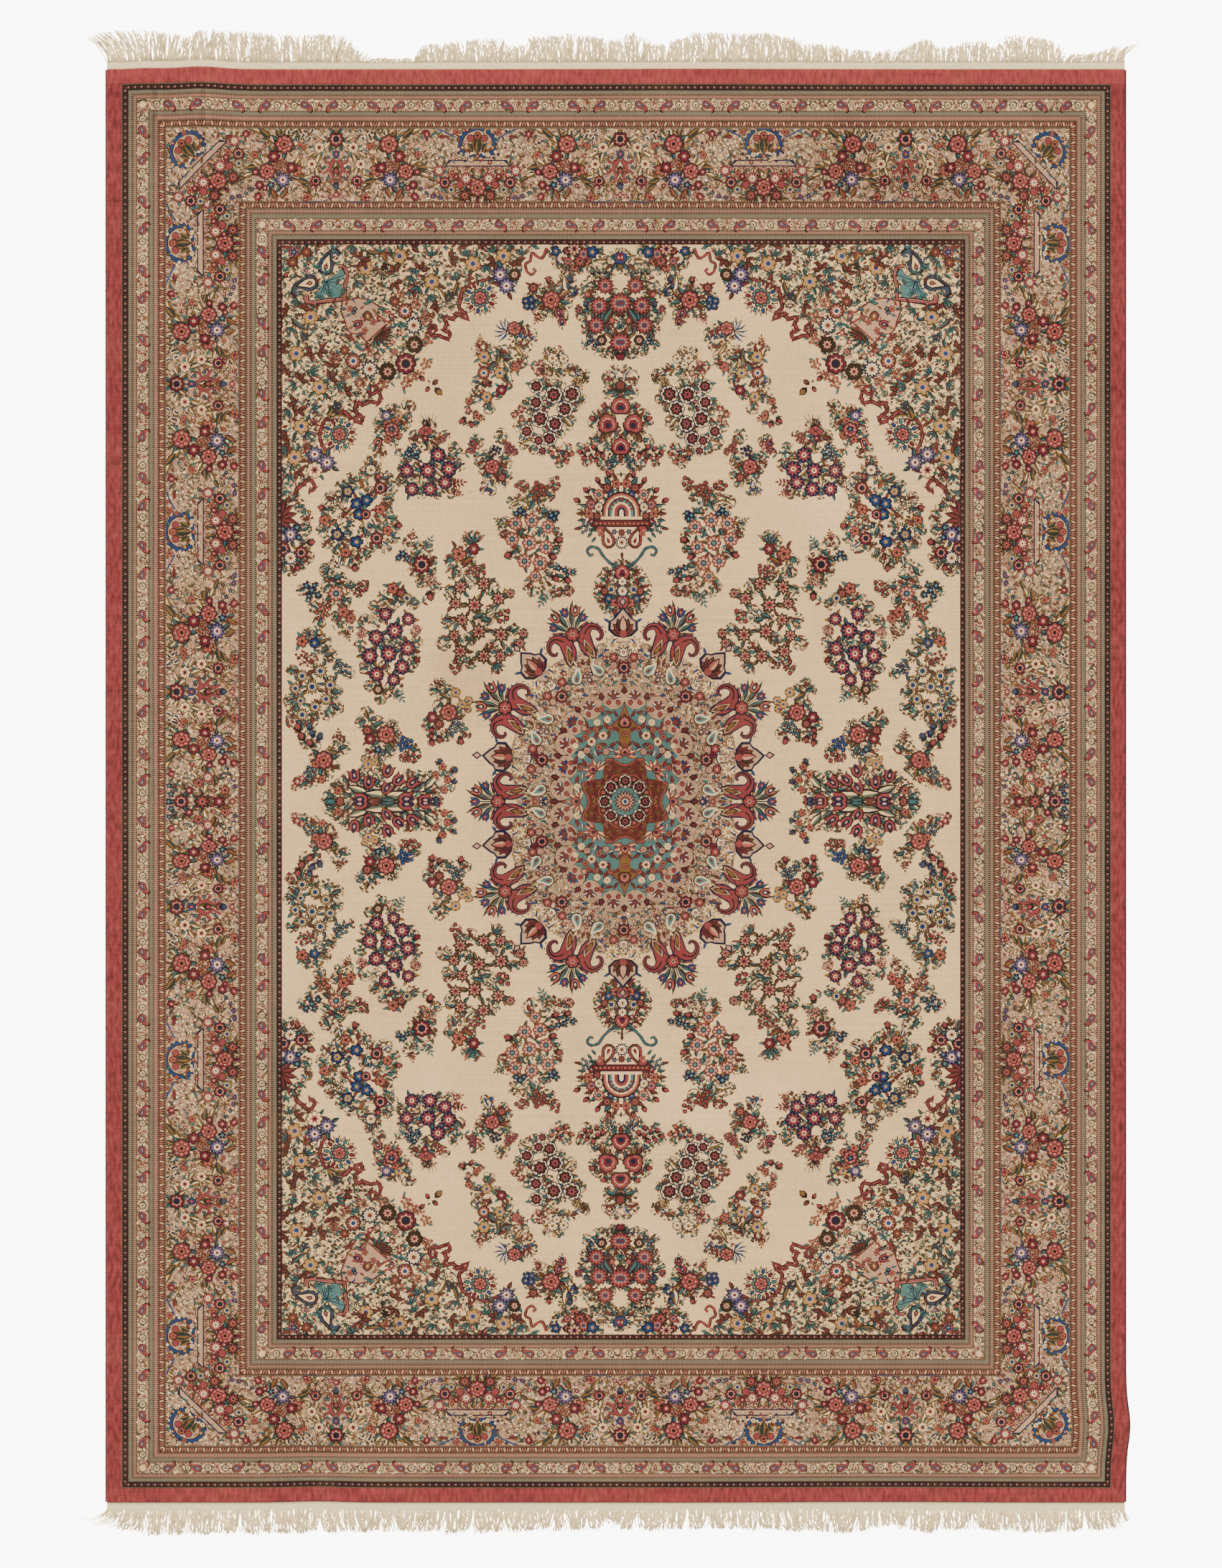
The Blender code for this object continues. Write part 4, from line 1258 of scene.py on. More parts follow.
# pieces of the upper field that stand nearer its corner, on the corner's sheet
LEFT_ROWS = """
leaf rust: 835 1030 50 20, 815 1130 44 -80, 740 1048 50 110, 712 1050 40 100, 645 1150 40 200
leaf rust: 790 1130 60 -50, 655 1305 60 -50, 868 1218 76 200, 975 1250 60 -30, 888 1392 50 160
leaf rust: 1262 1370 60 200, 1400 1390 70 -30, 1280 1405 60 200, 1350 1450 60 -70, 1255 1245 36 60
leaf teal: 812 1020 40 80, 805 1095 60 -40, 730 1090 60 200, 650 1130 60 190, 780 1160 50 -70
leaf teal: 670 1180 50 200, 640 1210 44 220, 615 1285 40 240, 735 1245 36 -60, 965 1212 60 10
leaf teal: 935 1250 60 -100, 1048 1205 34 60, 795 1330 50 190, 890 1410 40 200, 1100 1280 50 60
leaf teal: 1118 1310 50 0, 900 1480 44 -60, 905 1560 44 -80, 1005 1560 44 -50, 1378 1220 50 240
leaf teal: 1300 1345 60 190, 1290 1325 40 150, 1410 1345 60 10, 1310 1445 60 250, 1425 1450 44 20
leaf teal: 1400 1495 36 -60, 1240 1320 44 230, 1225 1225 36 100
plume ink: 945 1160 90 75, 940 1150 70 105
leaf ochre: 890 1210 50 170, 940 1275 60 -100, 1388 1195 50 100, 1410 1235 40 40, 1420 1370 50 30
leaf mixed: 792 1322 36 150, 785 1395 50 140, 1080 1330 50 -40, 1130 1385 60 60, 1370 1420 50 -40
hook pale: 1000 1440 130 -60, 890 1470 100 240
twig red: 1075 1505 110 10, 1080 1540 90 -20
leaf navy: 1300 1500 50 240, 1320 1500 50 -70, 1290 1535 44 240, 1325 1540 44 -60
ochre_eye: 765 1086 30
lavender: 690 1086 38
blossom: 745 1120 30, 690 1140 26, 760 1205 30, 700 1230 30
rose: 722 1172 50, 932 1180 36, 905 1185 22, 955 1178 20, 1330 1396 52
dot_blue: 722 1168 26, 660 1232 18, 660 1060 14, 860 1272 24, 832 1290 22, 815 1312 22
dot_blue: 848 1318 26, 882 1308 26, 836 1345 22, 876 1338 22
tulip salmon: 640 1246 34 240
cluster dot_red: 1022 1222 40
crimson: 925 1225 24
pinwheel: 1003 1325 50, 942 1420 52, 1068 1410 52, 815 1420 46, 1046 1492 46, 845 1532 46
pinwheel: 955 1532 48
dot_ink: 760 1475 18, 785 1488 18, 800 1470 18, 770 1500 16
tulip red: 1424 1262 24 -60, 1446 1285 24 -50, 1466 1306 22 -50, 1425 1300 20 -100
tulip red: 1215 1260 30 130, 1210 1295 28 160
cluster dot_blue: 1350 1300 42
red_star: 1390 1462 36
dot_pink: 1245 1275 24
"""

# the left of the middle field
MIDDLE_LEFT_ROWS = """
leaf teal: 330 500 80 60, 395 545 80 20, 405 600 70 -30, 330 600 60 220, 180 620 50 200
leaf teal: 440 680 60 -20, 250 720 50 160, 285 815 60 240, 385 780 50 -60, 400 830 50 -90
leaf teal: 740 690 70 30, 675 660 60 130, 620 720 60 160, 850 1060 50 -60, 875 930 50 10
leaf teal: 750 935 50 60, 525 960 50 170, 590 1200 50 190, 655 1280 50 -80, 560 800 50 120
leaf teal: 262 890 70 80, 310 985 60 60, 460 1120 60 -20, 330 1370 60 -60, 390 1240 60 0
leaf teal: 120 1110 60 160, 180 1440 60 -90, 880 392 70 40, 850 440 60 200, 950 500 70 -10
leaf teal: 990 600 50 -30, 1080 440 70 200, 1180 320 60 120, 1250 775 80 20, 1292 800 80 -20
leaf teal: 1460 860 60 20, 1190 920 60 -60, 1440 980 60 -40, 988 1225 70 160, 1060 1225 60 30
leaf teal: 1010 1320 60 220, 1130 1360 60 10, 940 1440 50 200, 990 1490 50 -80, 1060 1500 60 -90
leaf rust: 350 560 70 200, 420 570 60 10, 340 690 60 230, 715 680 60 160, 680 1080 50 240
leaf rust: 680 1245 50 -30, 240 1410 60 -80, 120 1340 60 220, 240 1050 60 120, 860 500 60 220
leaf rust: 960 440 60 40, 1330 960 60 60, 1200 1060 60 240, 1010 1190 60 110, 1120 1390 60 -20
leaf rust: 1170 1490 50 -40
leaf mixed: 480 600 70 10, 430 700 60 -60, 850 700 60 -30, 670 940 60 100, 560 1090 60 200
leaf mixed: 210 880 60 120, 345 1010 80 20, 108 1290 70 200, 385 1330 80 -30, 905 570 60 240
leaf mixed: 1100 510 80 250, 1060 800 70 170
twig rust: 440 850 90 -70
hook pale: 700 720 90 -60
twig cream: 640 800 80 150
twig teal: 735 1220 110 -50, 920 380 110 60
leaf ochre: 310 930 80 20, 1042 1262 80 -30
spray dot_pink: 190 1030 60
twig red: 840 330 90 80
leaf autumn: 1185 440 90 30
hook grey: 1180 560 100 -60, 1090 640 90 110, 1330 610 90 60, 1330 760 90 20, 1040 940 80 200
berries berry: 545 600 60 20, 520 630 50 -10, 110 1410 50 230, 1255 505 60 30, 1200 500 50 10
berries berry: 1392 780 70 20, 1110 1082 60 240
dot_blue: 205 592 30, 238 620 30, 276 648 30, 222 655 28, 255 590 26, 385 640 24, 790 400 30
dot_blue: 765 425 26, 815 428 26
rosette: 385 640 50
cluster dot_rust: 300 750 60
blossom: 430 752 42, 475 790 34, 730 610 42, 180 930 42
red_star: 780 640 36, 1010 1430 34
sunflower: 815 668 40, 290 1110 50, 180 1140 46, 240 1205 52, 350 1195 46, 138 1215 42
sunflower: 325 1280 44, 258 1328 46, 180 1375 48, 170 1290 36
pinwheel: 685 765 44, 823 795 42, 740 865 54, 628 905 50, 820 972 50, 590 1018 52, 705 1005 54
pinwheel: 785 1085 50, 632 1130 48, 735 1163 42
bud crimson: 870 1040 30 -30
cluster dot_pink: 868 862 40, 540 880 40
brown: 640 1222 34
pansy: 255 940 36
cluster dot_blue: 405 1090 54, 1110 1450 58
dark_rose: 905 465 58
cluster dot_red: 950 560 46
bud red: 955 652 34 -80, 965 1465 28 -110, 962 1500 26 -90, 966 1540 28 -80, 1010 1520 28 -80
bud red: 1140 1530 28 -70
open blossom: 1130 400 52
crimson: 1220 370 40, 970 1390 40
lotus teal: 1222 295 60 80, 1362 1092 48 -60
star: 1140 600 50, 1280 580 50, 1110 700 44, 1225 710 56, 1370 670 50, 1440 640 34, 1150 800 46
star: 1250 870 54, 1100 895 44, 1385 890 54, 1140 990 50, 1280 1020 50, 1382 1020 44, 1520 882 34
star: 1500 940 38
ochre_eye: 1110 1240 34, 1190 1290 28, 1180 1340 26
open ochre_eye: 1150 1312 30
rose: 1068 1360 58
"""

# left of the rosette over the medallion
MIDDLE_RIGHT_ROWS = """
leaf teal: 430 215 66 200, 540 215 66 -10, 440 280 80 -120, 520 320 70 10, 380 440 60 60
leaf teal: 480 450 60 110, 340 560 60 220, 580 540 60 -10, 560 650 60 10, 615 710 60 -20
leaf teal: 440 800 50 -90
leaf mixed: 480 260 60 -90, 540 700 60 -40
hook pale: 380 250 90 150, 330 260 70 190
twig teal: 280 400 90 150, 535 800 120 -120
leaf rust: 270 440 60 200, 590 450 50 40, 420 770 60 -100
cluster red_star: 480 190 64
berries berry: 385 165 60 150, 575 150 60 40, 600 800 50 -30, 655 800 50 -20
dot_blue: 370 312 32, 345 330 26, 392 332 28, 558 342 32, 585 330 28, 575 362 26, 600 660 28
dot_blue: 640 672 26, 690 682 24, 655 700 20
rosette: 340 390 44, 438 372 46, 537 410 44, 320 485 46, 425 508 48, 525 533 46, 395 618 46
rosette: 490 630 48, 460 710 38
bud red: 600 490 32 20, 562 590 30 -20, 300 580 32 200, 580 722 30 -30, 652 732 30 -20
"""
ROSETTE_ROWS = """
leaf mixed: 985 640 60 90
leaf teal: 940 660 70 120, 870 730 60 150, 850 815 60 190, 900 900 60 230, 955 700 60 60
leaf teal: 960 830 44 -90
leaf rust: 900 690 70 130, 870 860 66 210, 960 760 50 120
leaf red: 850 770 60 170, 945 925 60 250, 900 740 60 60
sunflower: 920 790 46
red_star: 880 800 30
pansy: 905 845 32
blossom: 945 870 34
palmette: 990 690 62 90, 1000 862 60 -90
cream: 990 742 34
navy_ray: 990 800 40
bud navy: 1000 935 30 -90
"""

# the basket over the medallion, left half, axis at 985
BASKET_ROWS = """
leaf teal: 985 90 60 90, 900 130 70 130, 820 195 70 150, 755 280 70 170, 740 370 60 190
leaf teal: 880 240 60 140, 960 190 50 90, 820 430 60 200, 790 460 50 230
leaf rust: 940 105 66 120, 860 160 70 140, 785 235 70 160, 735 330 66 180, 720 420 60 190
bud red: 715 250 26 160, 770 190 26 140, 840 130 26 120, 905 95 26 110
blossom: 950 150 34, 785 330 34
red_star: 895 175 36, 835 345 30
rosette: 845 215 36
fire: 800 275 38
navy_ray: 845 290 34
pansy: 920 215 30
crimson: 800 380 26
cluster dot_blue: 765 410 50
"""
LOWER_ROWS = """
leaf teal: 200 330 50 160, 260 340 50 -60, 600 180 60 40, 640 210 80 30, 540 200 60 200
leaf teal: 620 330 60 240, 745 260 60 20, 700 370 80 -60, 860 370 60 0, 430 352 70 20
leaf teal: 350 400 60 130, 290 490 60 240, 262 430 50 180, 190 570 50 220, 340 450 50 0
leaf pale: 210 270 50 90
leaf ochre: 570 150 70 100, 372 380 70 160, 330 512 70 -70
leaf rust: 620 250 60 0, 740 320 60 -30, 600 380 60 220, 370 470 60 -40, 240 560 60 250
leaf mixed: 650 430 60 -90
twig rust: 405 320 90 95
bud red: 155 235 34 110, 180 290 34 120, 230 330 34 130
bud navy: 225 230 30 100, 242 270 30 110, 285 290 30 60
cluster dot_olive: 720 215 46
red_star: 575 250 38
crimson: 592 302 38
rose: 690 275 60, 310 430 60
cluster pansy: 800 330 54
dot_blue: 640 366 34, 670 390 24
berries berry: 850 410 60 -20, 800 410 50 -60
blossom: 262 455 30, 300 545 26
cluster dot_blue: 226 505 50
dot_pink: 150 560 30, 180 540 26, 135 590 24
"""
# carnations below the corner piece, and half a cluster that the side border cuts
BOUQUET_ROWS = """
leaf mixed: 597 -160 70 90, 560 -90 70 170, 690 -60 70 20, 480 -50 70 150, 400 60 60 190
leaf teal: 640 -80 60 60, 420 -10 60 160, 700 60 60 10, 340 130 60 200, 300 260 60 210
leaf teal: 720 180 70 -10, 650 240 60 -60, 560 260 70 -80, 460 220 60 230, 390 360 60 250
leaf teal: 470 450 60 240, 560 400 60 -70, 740 300 50 -30
leaf rust: 350 60 60 160, 440 160 60 210, 600 30 60 60, 690 110 60 -30, 330 330 60 230
leaf rust: 600 350 60 -60, 520 420 70 -90, 620 -140 60 60, 430 340 50 -60
leaf autumn: 540 -20 70 120, 640 190 60 -50, 370 210 70 220
hook navy: 400 440 80 240, 680 350 80 -50, 720 0 70 30
pansy: 457 22 44, 510 96 44, 523 161 40, 571 74 42, 392 283 46, 510 327 44
navy_ray: 597 -109 40
ochre_eye: 457 22 26, 392 283 26
dark_rose: 653 0 42, 566 161 34, 632 305 42
blossom: 314 196 36, 653 131 38, 444 392 38, 697 261 36
cluster dot_olive: 392 96 54
bud red: 640 -60 30 80, 300 120 28 170, 760 230 28 0, 500 480 30 -90
dot_blue: 460 270 22, 590 230 22
"""
HALF_CLUSTER_ROWS = """
leaf mixed: 130 60 70 60, 190 330 60 10, 60 480 70 240, 180 460 60 -60
leaf teal: 170 110 60 20, 70 100 60 120, 200 250 60 20, 40 440 60 -90
leaf rust: 100 70 60 90, 210 180 60 40, 120 500 60 -80, 220 420 50 -20
fan red: 30 180 130 25
lavender: 109 283 54, 60 300 34
dot_blue: 60 250 34, 150 240 32, 160 300 28
dark_rose: 65 370 46, 174 392 42
navy_ray: 109 424 46
bud red: 230 330 30 10, 150 480 28 -70
"""
# the side's great spray, upper half, its axis at y 672
SIDE_SPRAY = """
leaf teal: 350 640 70 150, 540 560 60 120, 640 560 70 60, 730 600 60 30, 800 610 70 20
leaf teal: 1035 510 44 60, 1075 590 44 -20, 950 620 60 10, 880 530 60 80
leaf ochre: 385 610 80 140
hook mixed: 420 590 90 120, 455 550 80 110
leaf grey: 520 610 150 160, 640 640 190 172, 760 645 190 176, 920 590 130 40, 960 560 130 50
leaf mixed: 455 640 70 150, 880 610 70 30
hook grey: 650 520 80 100, 560 500 70 130
leaf rust: 980 610 60 40, 820 520 50 100
blossom: 400 615 30, 1030 470 26, 990 520 26, 1060 550 26, 1040 610 26
tulip red: 497 530 46 100, 583 570 46 80, 697 500 46 70, 760 555 46 40, 845 570 46 40
tulip red: 690 605 44 60
open ochre_eye: 580 455 34
ochre_eye: 620 440 26, 560 425 24
bud navy: 1012 440 22 80, 1100 492 22 40, 1098 560 22 10
"""
SIDE_SPRAY_AXIS = """
leaf teal: 350 672 90 180, 700 668 90 180
leaf rust: 620 668 80 180
red_star: 410 675 30
tulip red: 537 668 52 180, 805 665 54 0, 920 672 48 0
bud navy: 990 668 26 0
bud red: 1015 668 18 0
"""


FIELD_TABLES = (
    (SPANDREL, LEFT_ROWS), (UPPER, UPPER_ROWS), (UPPER, TOP_BOUQUET), (UPPER, PENDANT),
    (MIDDLE_LEFT, MIDDLE_LEFT_ROWS), (MIDDLE_LEFT, BOUQUET_ROWS), (MIDDLE_LEFT, HALF_CLUSTER_ROWS),
    (MIDDLE_RIGHT, MIDDLE_RIGHT_ROWS), (MIDDLE_RIGHT, ROSETTE_ROWS), (LOWER, LOWER_ROWS),
    (LOWER, SIDE_SPRAY), (LOWER, SIDE_SPRAY_AXIS),
)


FOLIAGE_ROOM, FOLIAGE_SHARE = 4.5, 0.42      # how far foliage shows round a motif, in squares


def draw_field():
    """The corner piece, the sprays scattered over the field, and the axis motifs."""
    for sheet, table in FIELD_TABLES:
        for _, x, y, size, _ in rows_of(table):
            radius = FOLIAGE_ROOM + FOLIAGE_SHARE * size / sheet.zoom
            foliage = circle(7, radius) + sheet.at(x, y).origin
            Spot().paint(foliage, "thicket")
    paint_places(SPANDREL, CORNER_EDGE, "meadow")
    draw_table(SPANDREL, MEADOW_ROWS, None)
    for points in EDGE_SCROLLS:
        draw_lines(SPANDREL, points, ("maroon", 6.6), ("rose", 3.0))
        for number, (x, y) in enumerate(points):
            draw(SPANDREL.at(x, y, 70 * number, 56), "hook", "red")
    draw_lines(UPPER, TOP_SCROLL, ("maroon", 5.0), ("rose", 2.4))
    draw_table(SPANDREL, SPANDREL_ROWS)
    draw_vase()
    draw_table(SPANDREL, DIAGONAL_ROWS, None)
    sow_corner()
    for sheet, table in FIELD_TABLES:
        draw_table(sheet, table)
        if table is MIDDLE_RIGHT_ROWS:
            draw_basket()


def paint_places(sheet, points, dye):
    """A flat shape whose corners are read off a sheet."""
    Spot().paint([sheet.at(x, y).origin for x, y in points], dye)


def paint_piped(sheet, points, *layers):
    """A shape of a sheet within its pipings: each layer's scale about its middle, and its dye."""
    middle = np.mean(points, axis=0)
    for scale, dye in layers:
        paint_places(sheet, middle + scale * (np.array(points) - middle), dye)


def draw_vase():
    """The corner's vase: two paisleys over a blue ground, a shield of flowers and its foot."""
    draw_lines(SPANDREL, LACE, ("maroon", 8.0), ("blush", 4.0), ("rose", 2.4))
    paint_piped(SPANDREL, TEAL_PATCH, (1.0, "ink"), (0.94, "aqua"))
    x, y = VASE_MOUTH
    for end in VASE_FRONDS:
        draw_line(SPANDREL, "navy", 1.3, (x, y), ((x + end[0]) / 2 + 6, (y + end[1]) / 2), end)
    for spot in (SPANDREL.at(322, 190, 72, 52, -1), SPANDREL.at(232, 282, 194, 52)):
        draw_boteh(spot, "brown", "slate", "cream", "brick", "ink")
        draw_flower(spot.at(0.1, 0, 0, 0.30), "crimson")
    for x, y, turn in ((302, 200, 100), (248, 225, 150)):
        draw_scroll(SPANDREL.at(x, y, turn, 34), "slate", 1.8)
    paint_piped(SPANDREL, VASE, (1.0, "maroon"), (0.955, "salmon"), (0.91, "beige_rose"))
    for points in VASE_SCROLLS:
        draw_lines(SPANDREL, points, ("maroon", 4.0), ("rose", 2.2))
    for foot, dye in zip(VASE_FOOT, ("maroon", "blush")):
        paint_places(SPANDREL, foot, dye)


BASKET_FOOT = ((960, 640), (930, 640), (880, 600), (845, 545), (800, 530), (775, 555),
               (790, 585), (812, 575))
BASKET_SHELL = (985, 318)     # the middle of the shell's rings
BASKET_AXIS = 990             # the middle line of the rug on that sheet


def draw_basket():
    """The basket over the medallion: a dome of flowers, shell, tray and curling feet."""
    sheet = MIDDLE_RIGHT
    draw_table(sheet, BASKET_ROWS)
    middle, level = BASKET_SHELL
    for radius, dye in ((122, "maroon"), (112, "salmon"), (98, "cream"), (86, "maroon"), (76, "aqua"),
                        (60, "cream"), (46, "rose"), (28, "navy"), (16, "ivory")):
        turns = np.radians(np.linspace(88, 190, 14))
        arc = [(middle + radius * math.cos(t), level - radius * math.sin(t)) for t in turns]
        paint_places(sheet, [(BASKET_AXIS, 340), (BASKET_AXIS, level - radius)] + arc
                     + [(middle - radius, 350)], dye)
    for turn in (100, 122, 144, 166):
        draw_leaf(sheet.at(middle, level, turn, 1).at(52, 0), "red", 44, 0.30)
    for left, right, low, high, dye in ((795, 812, 412, 366, "maroon"),
                                        (808, 820, 405, 374, "crimson")):
        tray = ((left, low), (right, high), (BASKET_AXIS, high), (BASKET_AXIS, low))
        paint_places(sheet, tray, dye)
    for x in range(830, BASKET_AXIS, 26):
        draw_flower(sheet.at(x, 390, 0, 11), "dot_gold")
    draw_lines(sheet, BASKET_FOOT, ("navy", 5.0), ("teal", 2.0))
    draw_boteh(sheet.at(905, 500, 110, 46), "maroon", "rose", "cream", "crimson", "maroon")
    draw_flower(sheet.at(middle, 505, 0, 42), "navy_ray")
    draw_flower(sheet.at(middle, 445, 0, 26), "red_star")
    draw_leaf(sheet.at(middle, 560, -90, 1), "rust", 50, 0.4)
    draw_flower(sheet.at(940, 440, 0, 22), "dot_blue")
    draw_flower(sheet.at(860, 450, 0, 24), "blossom")
    draw_leaf(sheet.at(830, 470, 230, 1), "teal", 50, 0.4)


# ---- ground between the motifs -----------------------------------------------------------------
def sow(holds, low, high, gap, motifs, seed):
    """Scatter small motifs of a size wherever a region has room between what is drawn."""
    source = random.Random(seed)
    places = [np.array(place) for place, _ in CARTOON.taken]
    radii = [radius for _, radius in CARTOON.taken]
    tries = int((high[0] - low[0]) * (high[1] - low[1]) / gap ** 2 * 4)
    spots = np.array([(source.uniform(low[0], high[0]), source.uniform(low[1], high[1]))
                      for _ in range(tries)])
    spots = spots[holds(spots)]
    places, radii = np.array(places), np.array(radii)
    for spot in spots:
        if (np.hypot(*(places - spot).T) > radii + gap).all():
            kind, size = source.choice(motifs)
            name, _, dyes = kind.partition(" ")
            draw(Spot(spot).at(0, 0, source.uniform(0, 360), size), name, dyes or None)
            places, radii = np.vstack([places, spot]), np.append(radii, size * 0.8)


CORNER_EDGE = ((50, 50), (1600, 50), (1560, 90), (1440, 260), (1300, 300), (1120, 420), (1020, 520),
               (930, 660), (800, 830), (640, 960), (520, 1060), (380, 1120), (280, 1250),
               (220, 1450), (120, 1560), (50, 1640))
MEADOW = (("trefoil rust", 10.0), ("trefoil teal", 9.5), ("trefoil mixed", 9.5), ("leaf teal", 12.0),
          ("leaf rust", 11.0), ("leaf mixed", 12.0), ("hook navy", 9.0))
BORDER_SEED = (("leaf pale", 11.0), ("leaf ochre", 11.0), ("dot_gold", 3.0), ("dot_white", 3.2),
               ("dot_blue", 2.8), ("blossom", 3.8), ("leaf rust", 8.5), ("leaf pale", 9.0),
               ("leaf mixed", 9.0), ("dot_pink", 3.0), ("crimson", 3.6))


GROUND_START, GROUND_END = 82.0, 176.0       # the main border's ground, from the rug's edge


def sow_border():
    """Fill what is left of the main border's ground."""
    outer, inner = HALF_WIDTH - GROUND_START, HALF_WIDTH - GROUND_END
    shift = HALF_LENGTH - HALF_WIDTH

    def in_border(places):
        ring = np.maximum(places[:, 0], places[:, 1] - shift)
        return (ring < outer) & (ring > inner)

    sow(in_border, (0.0, 0.0), (outer, outer + shift), 4.5, BORDER_SEED, 11)


def sow_corner():
    """Fill what is left of the corner piece's meadow."""
    edge = np.array([SPANDREL.at(x, y).origin for x, y in CORNER_EDGE])
    sow(lambda places: within(places, edge), edge.min(axis=0), edge.max(axis=0), 4.0, MEADOW, 12)


# ---- the medallion -----------------------------------------------------------------------------
# its twenty outer motifs, a quarter of them: place and the way it points, in degrees
FINIALS = (("tulip", 175.0, 0.0, 0.0), ("arrow", 171.0, 61.0, 4.0), ("tulip", 164.5, 128.0, 30.0),
           ("arrow", 125.0, 185.0, 47.0), ("tulip", 70.0, 228.0, 70.0), ("arrow", 0.0, 240.0, 90.0))
CURL = ((-44, 17), (-36, 16), (-26, 13.5), (-15, 12.5), (-6, 15), (0, 21), (2, 28), (-2, 35),
        (-9, 38.5), (-16, 37), (-19, 32), (-15.5, 28.5))
CURL_HEART = ((-40, 17.5), (-32, 11.6), (-20, 9.4), (-12, 12.5), (-20, 16.5), (-32, 19.5))
CLOUDS = ((15, 142, 90), (47, 128, 62), (70, 107, 40), (80, 78, 20), (81.5, 47, 4), (87, 17.5, 0))


def draw_curls(spot):
    """Two long paisleys back to back, their tips curling away, and the bracket between them."""
    for side in (1, -1):
        turned = spot.at(0, 0, 0, 1.0, side)
        turned.paint(band_along(CURL, 3, 16, 21, 20, 14, 10, 8, 6.4, 4.8, 3), "navy")
        turned.paint(band_along(CURL, 0.5, 12, 17.5, 16.5, 10.6, 7, 5, 3.6, 2.4, 0.8), "red")
        turned.paint(band_along(CURL[4:-1], 1.6, 2.4, 2.2, 1.6, 1.0), "maroon")
        for scale, dye in ((1.24, "maroon"), (1.08, "wheat"), (0.84, "rust"), (0.52, "ochre")):
            heart = turned.at(-26, 14.4, 0, scale)
            heart.paint(np.array(CURL_HEART) - (-26, 14.4), dye)
        draw_line_here(turned, "navy", 1.7, (-10, 1), (-13, 6), (-20, 8.6), (-29, 11.5))
        for k, (x, y) in enumerate(((5, 18), (8, 24), (7, 31), (3, 38), (-4, 43), (-12, 44))):
            turned.at(x, y, 20 * k, 1.6).paint(rayed(3, 1.1, 0.5), "navy")


MEDALLION_SEED = (("dark_rose", 5.2), ("leaf mixed", 10.0), ("cream", 4.8), ("leaf navy", 10.0),
                  ("leaf rust", 10.0), ("leaf pale", 11.0), ("dot_blue", 3.4), ("leaf teal", 9.0),
                  ("blossom", 4.2), ("hook navy", 9.0))


def draw_line_here(spot, dye, width, *points):
    """A tapering line through local points; width is in local units."""
    spot.paint(band_along(points, width, 0.7 * width), dye)


def draw_tulips(spot):
    """A red rosette with tulips and long leaves standing out of it."""
    for turn, far, dyes in ((-92, 26, "mixed"), (-66, 31, "rust"), (-40, 41, "teal"),
                            (-14, 48, "mixed"), (14, 48, "mixed"), (40, 41, "teal"),
                            (66, 31, "rust"), (92, 26, "mixed")):
        draw_leaf(spot.at(0, 0, turn).at(7, 0), dyes, far - 7.0, 0.17, 0.14 if turn > 0 else -0.14)
    for turn, far, size, dyes in ((-80, 20, 7.6, "red"), (-52, 27, 6.6, "navy"),
                                  (-27, 32, 8.6, "salmon"), (0, 31, 7.4, "navy"),
                                  (27, 32, 8.6, "salmon"), (52, 27, 6.6, "navy"),
                                  (80, 20, 7.6, "red")):
        away = spot.at(0, 0, turn)
        draw_stem(away, [(8, 0), (far * 0.6, 0.4), (far - 3, 0)], "fern", 1.6)
        draw_tulip(away.at(far, 0, 0, size), *TULIP_DYES[dyes])
    draw_flower(spot.at(0, 0, 0, 10.5), "red_daisy")


def draw_arrow(spot):
    """A lotus in a pointed navy outline over two pale chrysanthemums."""
    spot = spot.at(0, 0, 0, 1.2)
    outline = [(-14, 0), (-12, 10), (-5, 17.5), (5, 17), (8.5, 11), (13, 8.5), (22, 0)]
    for side in (1, -1):
        draw_flower(spot.at(-22, 13 * side, 0, 11.0), "mum")
        draw_leaf(spot.at(4, 15 * side, 60 * side), "navy", 9, 0.4)
        draw_leaf(spot.at(-14, 9 * side, 150 * side), "navy", 9, 0.3, 0.2)
    paint_layers(spot, mirrored(outline), (0, 1, "navy"), (0.6, 0.82, "beige_rose"))
    for turn, dyes in ((-70, "red"), (70, "red"), (-44, "red"), (44, "red"), (-20, "rust"),
                       (20, "rust"), (0, "cup")):
        draw_leaf(spot.at(-10, 0, turn), dyes, 22.0 - abs(turn) * 0.1, 0.52)
    spot.at(-9, 0, 0, 4.4).paint(circle(8), "rose")
    paint_layers(spot, [(-5.5, 0), (0, 4.6), (6.5, 0), (0, -4.6)], (27, 1, "navy"), (27, 0.6, "blush"))


def draw_under_tulips(spot):
    """Two small pale paisleys and a three-looped knot, under the long paisleys."""
    for side in (1, -1):
        draw_boteh(spot.at(-60, 17 * side, -28 * side, 8.4, side), "bronze", "ivory", "aqua",
                   "brick")
        draw_leaf(spot.at(-46, 10 * side, 6 * side), "pale", 14, 0.4, 0.1 * side)
        draw_flower(spot.at(-46, 30 * side, 0, 5.0), "dot_pink")
    for x, y, size in ((-66, 0, 4.2), (-59, 4.0, 3.6), (-59, -4.0, 3.6)):
        spot.at(x, y, 0, size).paint(circle(10), "navy")
        spot.at(x, y, 0, size * 0.6).paint(circle(8), "blush")
    draw_flower(spot.at(-52, 0, 0, 4.6), "dot_red")
    draw_leaf(spot.at(-46, 0, 0), "rust", 12, 0.4)


